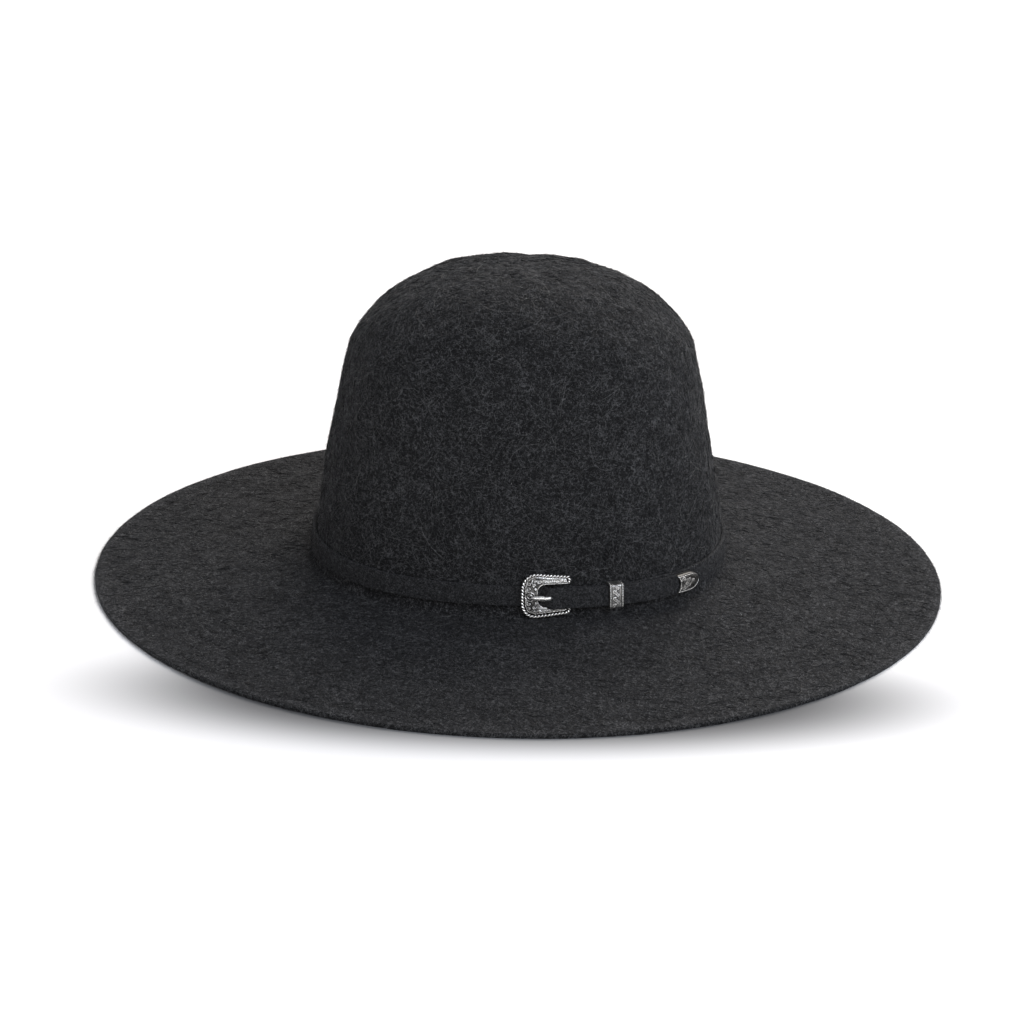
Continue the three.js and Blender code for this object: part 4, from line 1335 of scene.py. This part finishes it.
def keeper():
    parts = Parts()
    back = CLEARANCE
    front = tail_level + half_strap + CLEARANCE + KEEPER_WALL
    half_depth = (front - back) / 2
    middle_level = (front + back) / 2
    half_height = STRAP_HEIGHT / 2 + CLEARANCE + KEEPER_WALL
    outer = rounded_loop(half_depth, half_height, KEEPER_CORNER, KEEPER_SIDES)
    inner = rounded_loop(
        half_depth - KEEPER_WALL, half_height - KEEPER_WALL, KEEPER_INNER_CORNER, KEEPER_SIDES,
    )
    outward = unit(outer)
    free = np.clip(outer[:, 0] / half_depth + 0.6, 0, 1)
    beads = 0.5 + 0.5 * np.cos(distances(outer) / BEADS_PITCH * TAU)
    along = np.linspace(0, 1, KEEPER_STEPS) * KEEPER_LENGTH
    scrolls = [
        Scroll(KEEPER_LENGTH / 2 + 0.7 * side, up * STRAP_HEIGHT, 0.95, 1.9 * side, 1.3 * side)
        for up, side in KEEPER_SCROLLS
    ]
    grid_along, grid_up = np.meshgrid(along, outer[:, 1], indexing="ij")
    relief = engraved(np.c_[grid_along.ravel(), grid_up.ravel()], scrolls, KEEPER_RIDGE)
    scrollwork, cuts = (field.reshape(grid_along.shape) for field in relief)
    on_front = np.clip((outer[:, 0] / half_depth - FRONT_FROM) * FRONT_FADE, 0, 1)
    edge_gap = np.minimum(along, KEEPER_LENGTH - along)
    border = bump(edge_gap - BEADS_AT, BEADS_WIDTH)
    line = bump(edge_gap - LINE_AT, LINE_WIDTH)
    rows = []
    shades = []
    for index in range(KEEPER_STEPS):
        field = on_front * (edge_gap[index] > SCROLLS_FROM)
        relief = np.maximum(border[index] * (0.35 + 0.65 * beads), line[index] * 0.9)
        relief = np.maximum(relief, (0.35 + 0.65 * scrollwork[index] - 0.35 * cuts[index]) * field)
        ring = outer + outward * (KEEPER_RELIEF * relief * free)[:, None]
        rows.append(np.c_[np.full(KEEPER_SIDES, along[index]), ring[:, 1], middle_level + ring[:, 0]])
        # The front's colour follows its relief: beads, lines and scrolls bright and the ground between
        # them dark, a painted shade in the recesses.
        shades.append(0.05 + 0.95 * relief + 0.35 * (1 - on_front))
    for end in (KEEPER_LENGTH, 0):
        rows.append(np.c_[np.full(KEEPER_SIDES, end), inner[:, 1], middle_level + inner[:, 0]])
        shades.append(np.full(KEEPER_SIDES, 0.4))
    parts.grid(np.stack(rows), np.stack(shades), wrap_rows=True, wrap_columns=True, flip=True)
    piece = parts.object("keeper_loop", SILVER, bent(KEEPER_START, strap_middle))
    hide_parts("keeper")


# Scrolls on the tip, placed by shares of its length and half height
TIP_SCROLLS = (
    Scroll(0.27, 0.42, size=1.222, start=3.4, turns=-1.4),
    Scroll(0.5, 0.32, size=1.175, start=2.6, turns=1.4),
    Scroll(0.4, 0.0, size=0.94, start=3.0, turns=1.4),
    Scroll(0.7, 0.0, size=1.128, start=3.2, turns=-1.4),
)
TIP_RIDGE = 0.19

# Lines along the tip's edge: distance from it and width. Its scrolls keep further in.
TIP_LINES = ((0.25, 0.2), (0.85, 0.15))
TIP_SCROLLS_FROM = 1.0
TIP_RELIEF = 0.24

# Steps along and round the tip, the share of them on its straight part, and how square its
# section is
TIP_STEPS = 64
TIP_SIDES = 150
TIP_STRAIGHT = 0.3
TIP_SQUARENESS = 4.5


def squared(wave):
    return np.sign(wave) * np.abs(wave) ** (2 / TIP_SQUARENESS)


def strap_tip():
    parts = Parts()
    back = tip_level - half_strap - CLEARANCE - TIP_WALL
    front = tip_level + half_strap + CLEARANCE + TIP_WALL
    nose_length = TIP_LENGTH - TIP_INSERT + TIP_WALL
    straight = TIP_LENGTH - nose_length
    half_depth = (front - back) / 2
    middle_level = (front + back) / 2
    turn = np.linspace(0, TAU, TIP_SIDES, endpoint=False)
    section_x = squared(np.cos(turn))
    section_y = squared(np.sin(turn))
    scallop = TIP_SCALLOP * (1 - section_y ** 2)
    scrolls = on_both_sides(TIP_SCROLLS, TIP_LENGTH, tip_half_height)
    on_front = np.clip((section_x - FRONT_FROM) * FRONT_FADE, 0, 1)
    rows = []
    shades = []
    for share in np.linspace(0, 1, TIP_STEPS):
        nose = max(0.0, (share - TIP_STRAIGHT) / (1 - TIP_STRAIGHT)) * math.pi / 2
        along = straight * min(1, share / TIP_STRAIGHT) + nose_length * math.sin(nose) ** 1.1
        height = max(tip_half_height * math.cos(nose), 0.02)
        depth = half_depth * min(1, (height / tip_half_height) ** 0.35)
        up = section_y * height
        place = np.c_[along + scallop * (1 - share), up]
        side_gap = height - np.abs(up)
        scrollwork, cuts = engraved(place, scrolls, TIP_RIDGE)
        relief = (0.15 + 0.85 * scrollwork - 0.15 * cuts) * (side_gap > TIP_SCROLLS_FROM)
        for line_at, line_width in TIP_LINES:
            relief = np.maximum(relief, bump(side_gap - line_at, line_width))
        relief = np.maximum(relief, bump(along - 0.3, 0.3)) * on_front
        rows.append(np.c_[place, middle_level + section_x * depth + TIP_RELIEF * relief])
        # The front's colour follows its relief: lines and scrolls bright and the ground between them
        # dark, a painted shade in the recesses.
        shades.append(np.where(on_front > 0, 0.04 + 0.8 * relief, 0.22))
    hollow_up = section_y * (tip_half_height - TIP_WALL)
    hollow_level = middle_level + section_x * (half_depth - TIP_WALL)
    for mouth in (scallop, 3.0 * np.ones(TIP_SIDES)):
        rows.insert(0, np.c_[mouth, hollow_up, hollow_level])
        shades.insert(0, np.full(TIP_SIDES, 0.3))
    parts.grid(np.stack(rows), np.stack(shades), wrap_columns=True)
    piece = parts.object("strap_end", SILVER, bent(TIP_START, strap_middle))
    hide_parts("strap_tip")


felt_body()
felt_fibres()
band_strap()
strap_fibres()
buckle_frame()
buckle_prong()
keeper()
strap_tip()


# Floor, camera and lights

# Painted shadow in the floor's colour, a soft oval in front of the brim, sizes in mm
PAINTED_FLOOR_SHADOW = {"x": 3, "y": -151, "half_length": 181, "half_width": 60, "soft": 0.37, "depth": 0.88}
FLOOR_COLOUR = 0.99

# How far the floor reaches from the middle, in metres
FLOOR_REACH = 6.0

# Area lights: places and sizes in metres, power in watts
Lamp = namedtuple("Lamp", "name place target size colour power")
LAMPS = (
    Lamp("overhead", (0.5, 1.2, 1.5), (0, 0, 0.05), (1.6, 1.2), colour=(1, 0.95, 0.9), power=40),
    Lamp("right", (2.0, -0.1, 0.9), (0, 0, 0.08), (1.2, 1.2), colour=(0.95, 0.95, 1), power=7),
    Lamp("card", (-0.1, -2.4, 0.55), (0, 0, 0.03), (1.4, 0.5), colour=(1, 0.99, 0.97), power=5),
    Lamp("front", (1.1, -1.6, 1.4), (0, 0, 0.08), (1.8, 0.9), colour=(0.82, 0.89, 1), power=25),
)
WORLD_COLOUR = (0.93, 0.94, 1, 1)
WORLD_STRENGTH = 0.36


def stage():
    floor = bpy.data.meshes.new("floor")
    corners = [(x * FLOOR_REACH, y * FLOOR_REACH, 0) for x, y in ((-1, -1), (1, -1), (1, 1), (-1, 1))]
    floor.from_pydata(corners, [], [(0, 1, 2, 3)])
    plane = bpy.data.objects.new("floor", floor)
    bpy.context.scene.collection.objects.link(plane)
    material, tree, shader = new_material("floor_white")
    shade = PAINTED_FLOOR_SHADOW
    place = add_node(tree, "ShaderNodeTexCoord").outputs["Object"]
    moved = add_node(tree, "ShaderNodeMapping", {
        "Vector": place,
        "Location": (-shade["x"] / shade["half_length"], -shade["y"] / shade["half_width"], 0),
        "Scale": (1 / (shade["half_length"] * MM), 1 / (shade["half_width"] * MM), 0),
    }).outputs[0]
    distance = add_node(tree, "ShaderNodeVectorMath", {0: moved}, operation="LENGTH").outputs["Value"]
    # The floor's colour darkens inside the oval: a painted shadow.
    light = add_node(tree, "ShaderNodeMapRange", {
        "Value": distance, "From Min": 1 - shade["soft"], "From Max": 1 + shade["soft"],
        "To Min": FLOOR_COLOUR * (1 - shade["depth"]), "To Max": FLOOR_COLOUR,
    }, interpolation_type="SMOOTHSTEP").outputs[0]
    fill(tree, shader, {"Base Color": light, "Roughness": 0.9, "Specular IOR Level": 0.0})
    floor.materials.append(material)
    plane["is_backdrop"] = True


def area_light(lamp):
    data = bpy.data.lights.new(lamp.name, "AREA")
    data.color = lamp.colour
    data.shape = "RECTANGLE"
    data.size, data.size_y = lamp.size
    data.energy = lamp.power
    holder = bpy.data.objects.new(lamp.name, data)
    bpy.context.scene.collection.objects.link(holder)
    holder.location = lamp.place
    holder.rotation_mode = "QUATERNION"
    holder.rotation_quaternion = (Vector(lamp.target) - Vector(lamp.place)).to_track_quat("-Z", "Y")


def camera():
    data = bpy.data.cameras.new("camera")
    data.lens = CAMERA_LENS
    data.sensor_width = 36.0
    data.clip_start = 0.05
    data.clip_end = 50
    holder = bpy.data.objects.new("camera", data)
    bpy.context.scene.collection.objects.link(holder)
    back = Vector((0, -math.cos(CAMERA_ELEVATION), math.sin(CAMERA_ELEVATION)))
    holder.location = (Vector(CAMERA_TARGET) + back * CAMERA_DISTANCE) * MM
    holder.rotation_mode = "QUATERNION"
    roll = Quaternion((0, 0, 1), CAMERA_ROLL)
    holder.rotation_quaternion = (-back).to_track_quat("-Z", "Y") @ roll
    bpy.context.scene.camera = holder


stage()
camera()
for lamp in LAMPS:
    area_light(lamp)

world = bpy.data.worlds.new("studio")
world.use_nodes = True
background = world.node_tree.nodes["Background"]
background.inputs["Color"].default_value = WORLD_COLOUR
background.inputs["Strength"].default_value = WORLD_STRENGTH
bpy.context.scene.world = world
bpy.context.scene.view_settings.view_transform = "Standard"

visual_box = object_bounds()
sizes = {"cad": cad_box, "visual": visual_box}
{name: [list(corner) for corner in box] for name, box in sizes.items()}
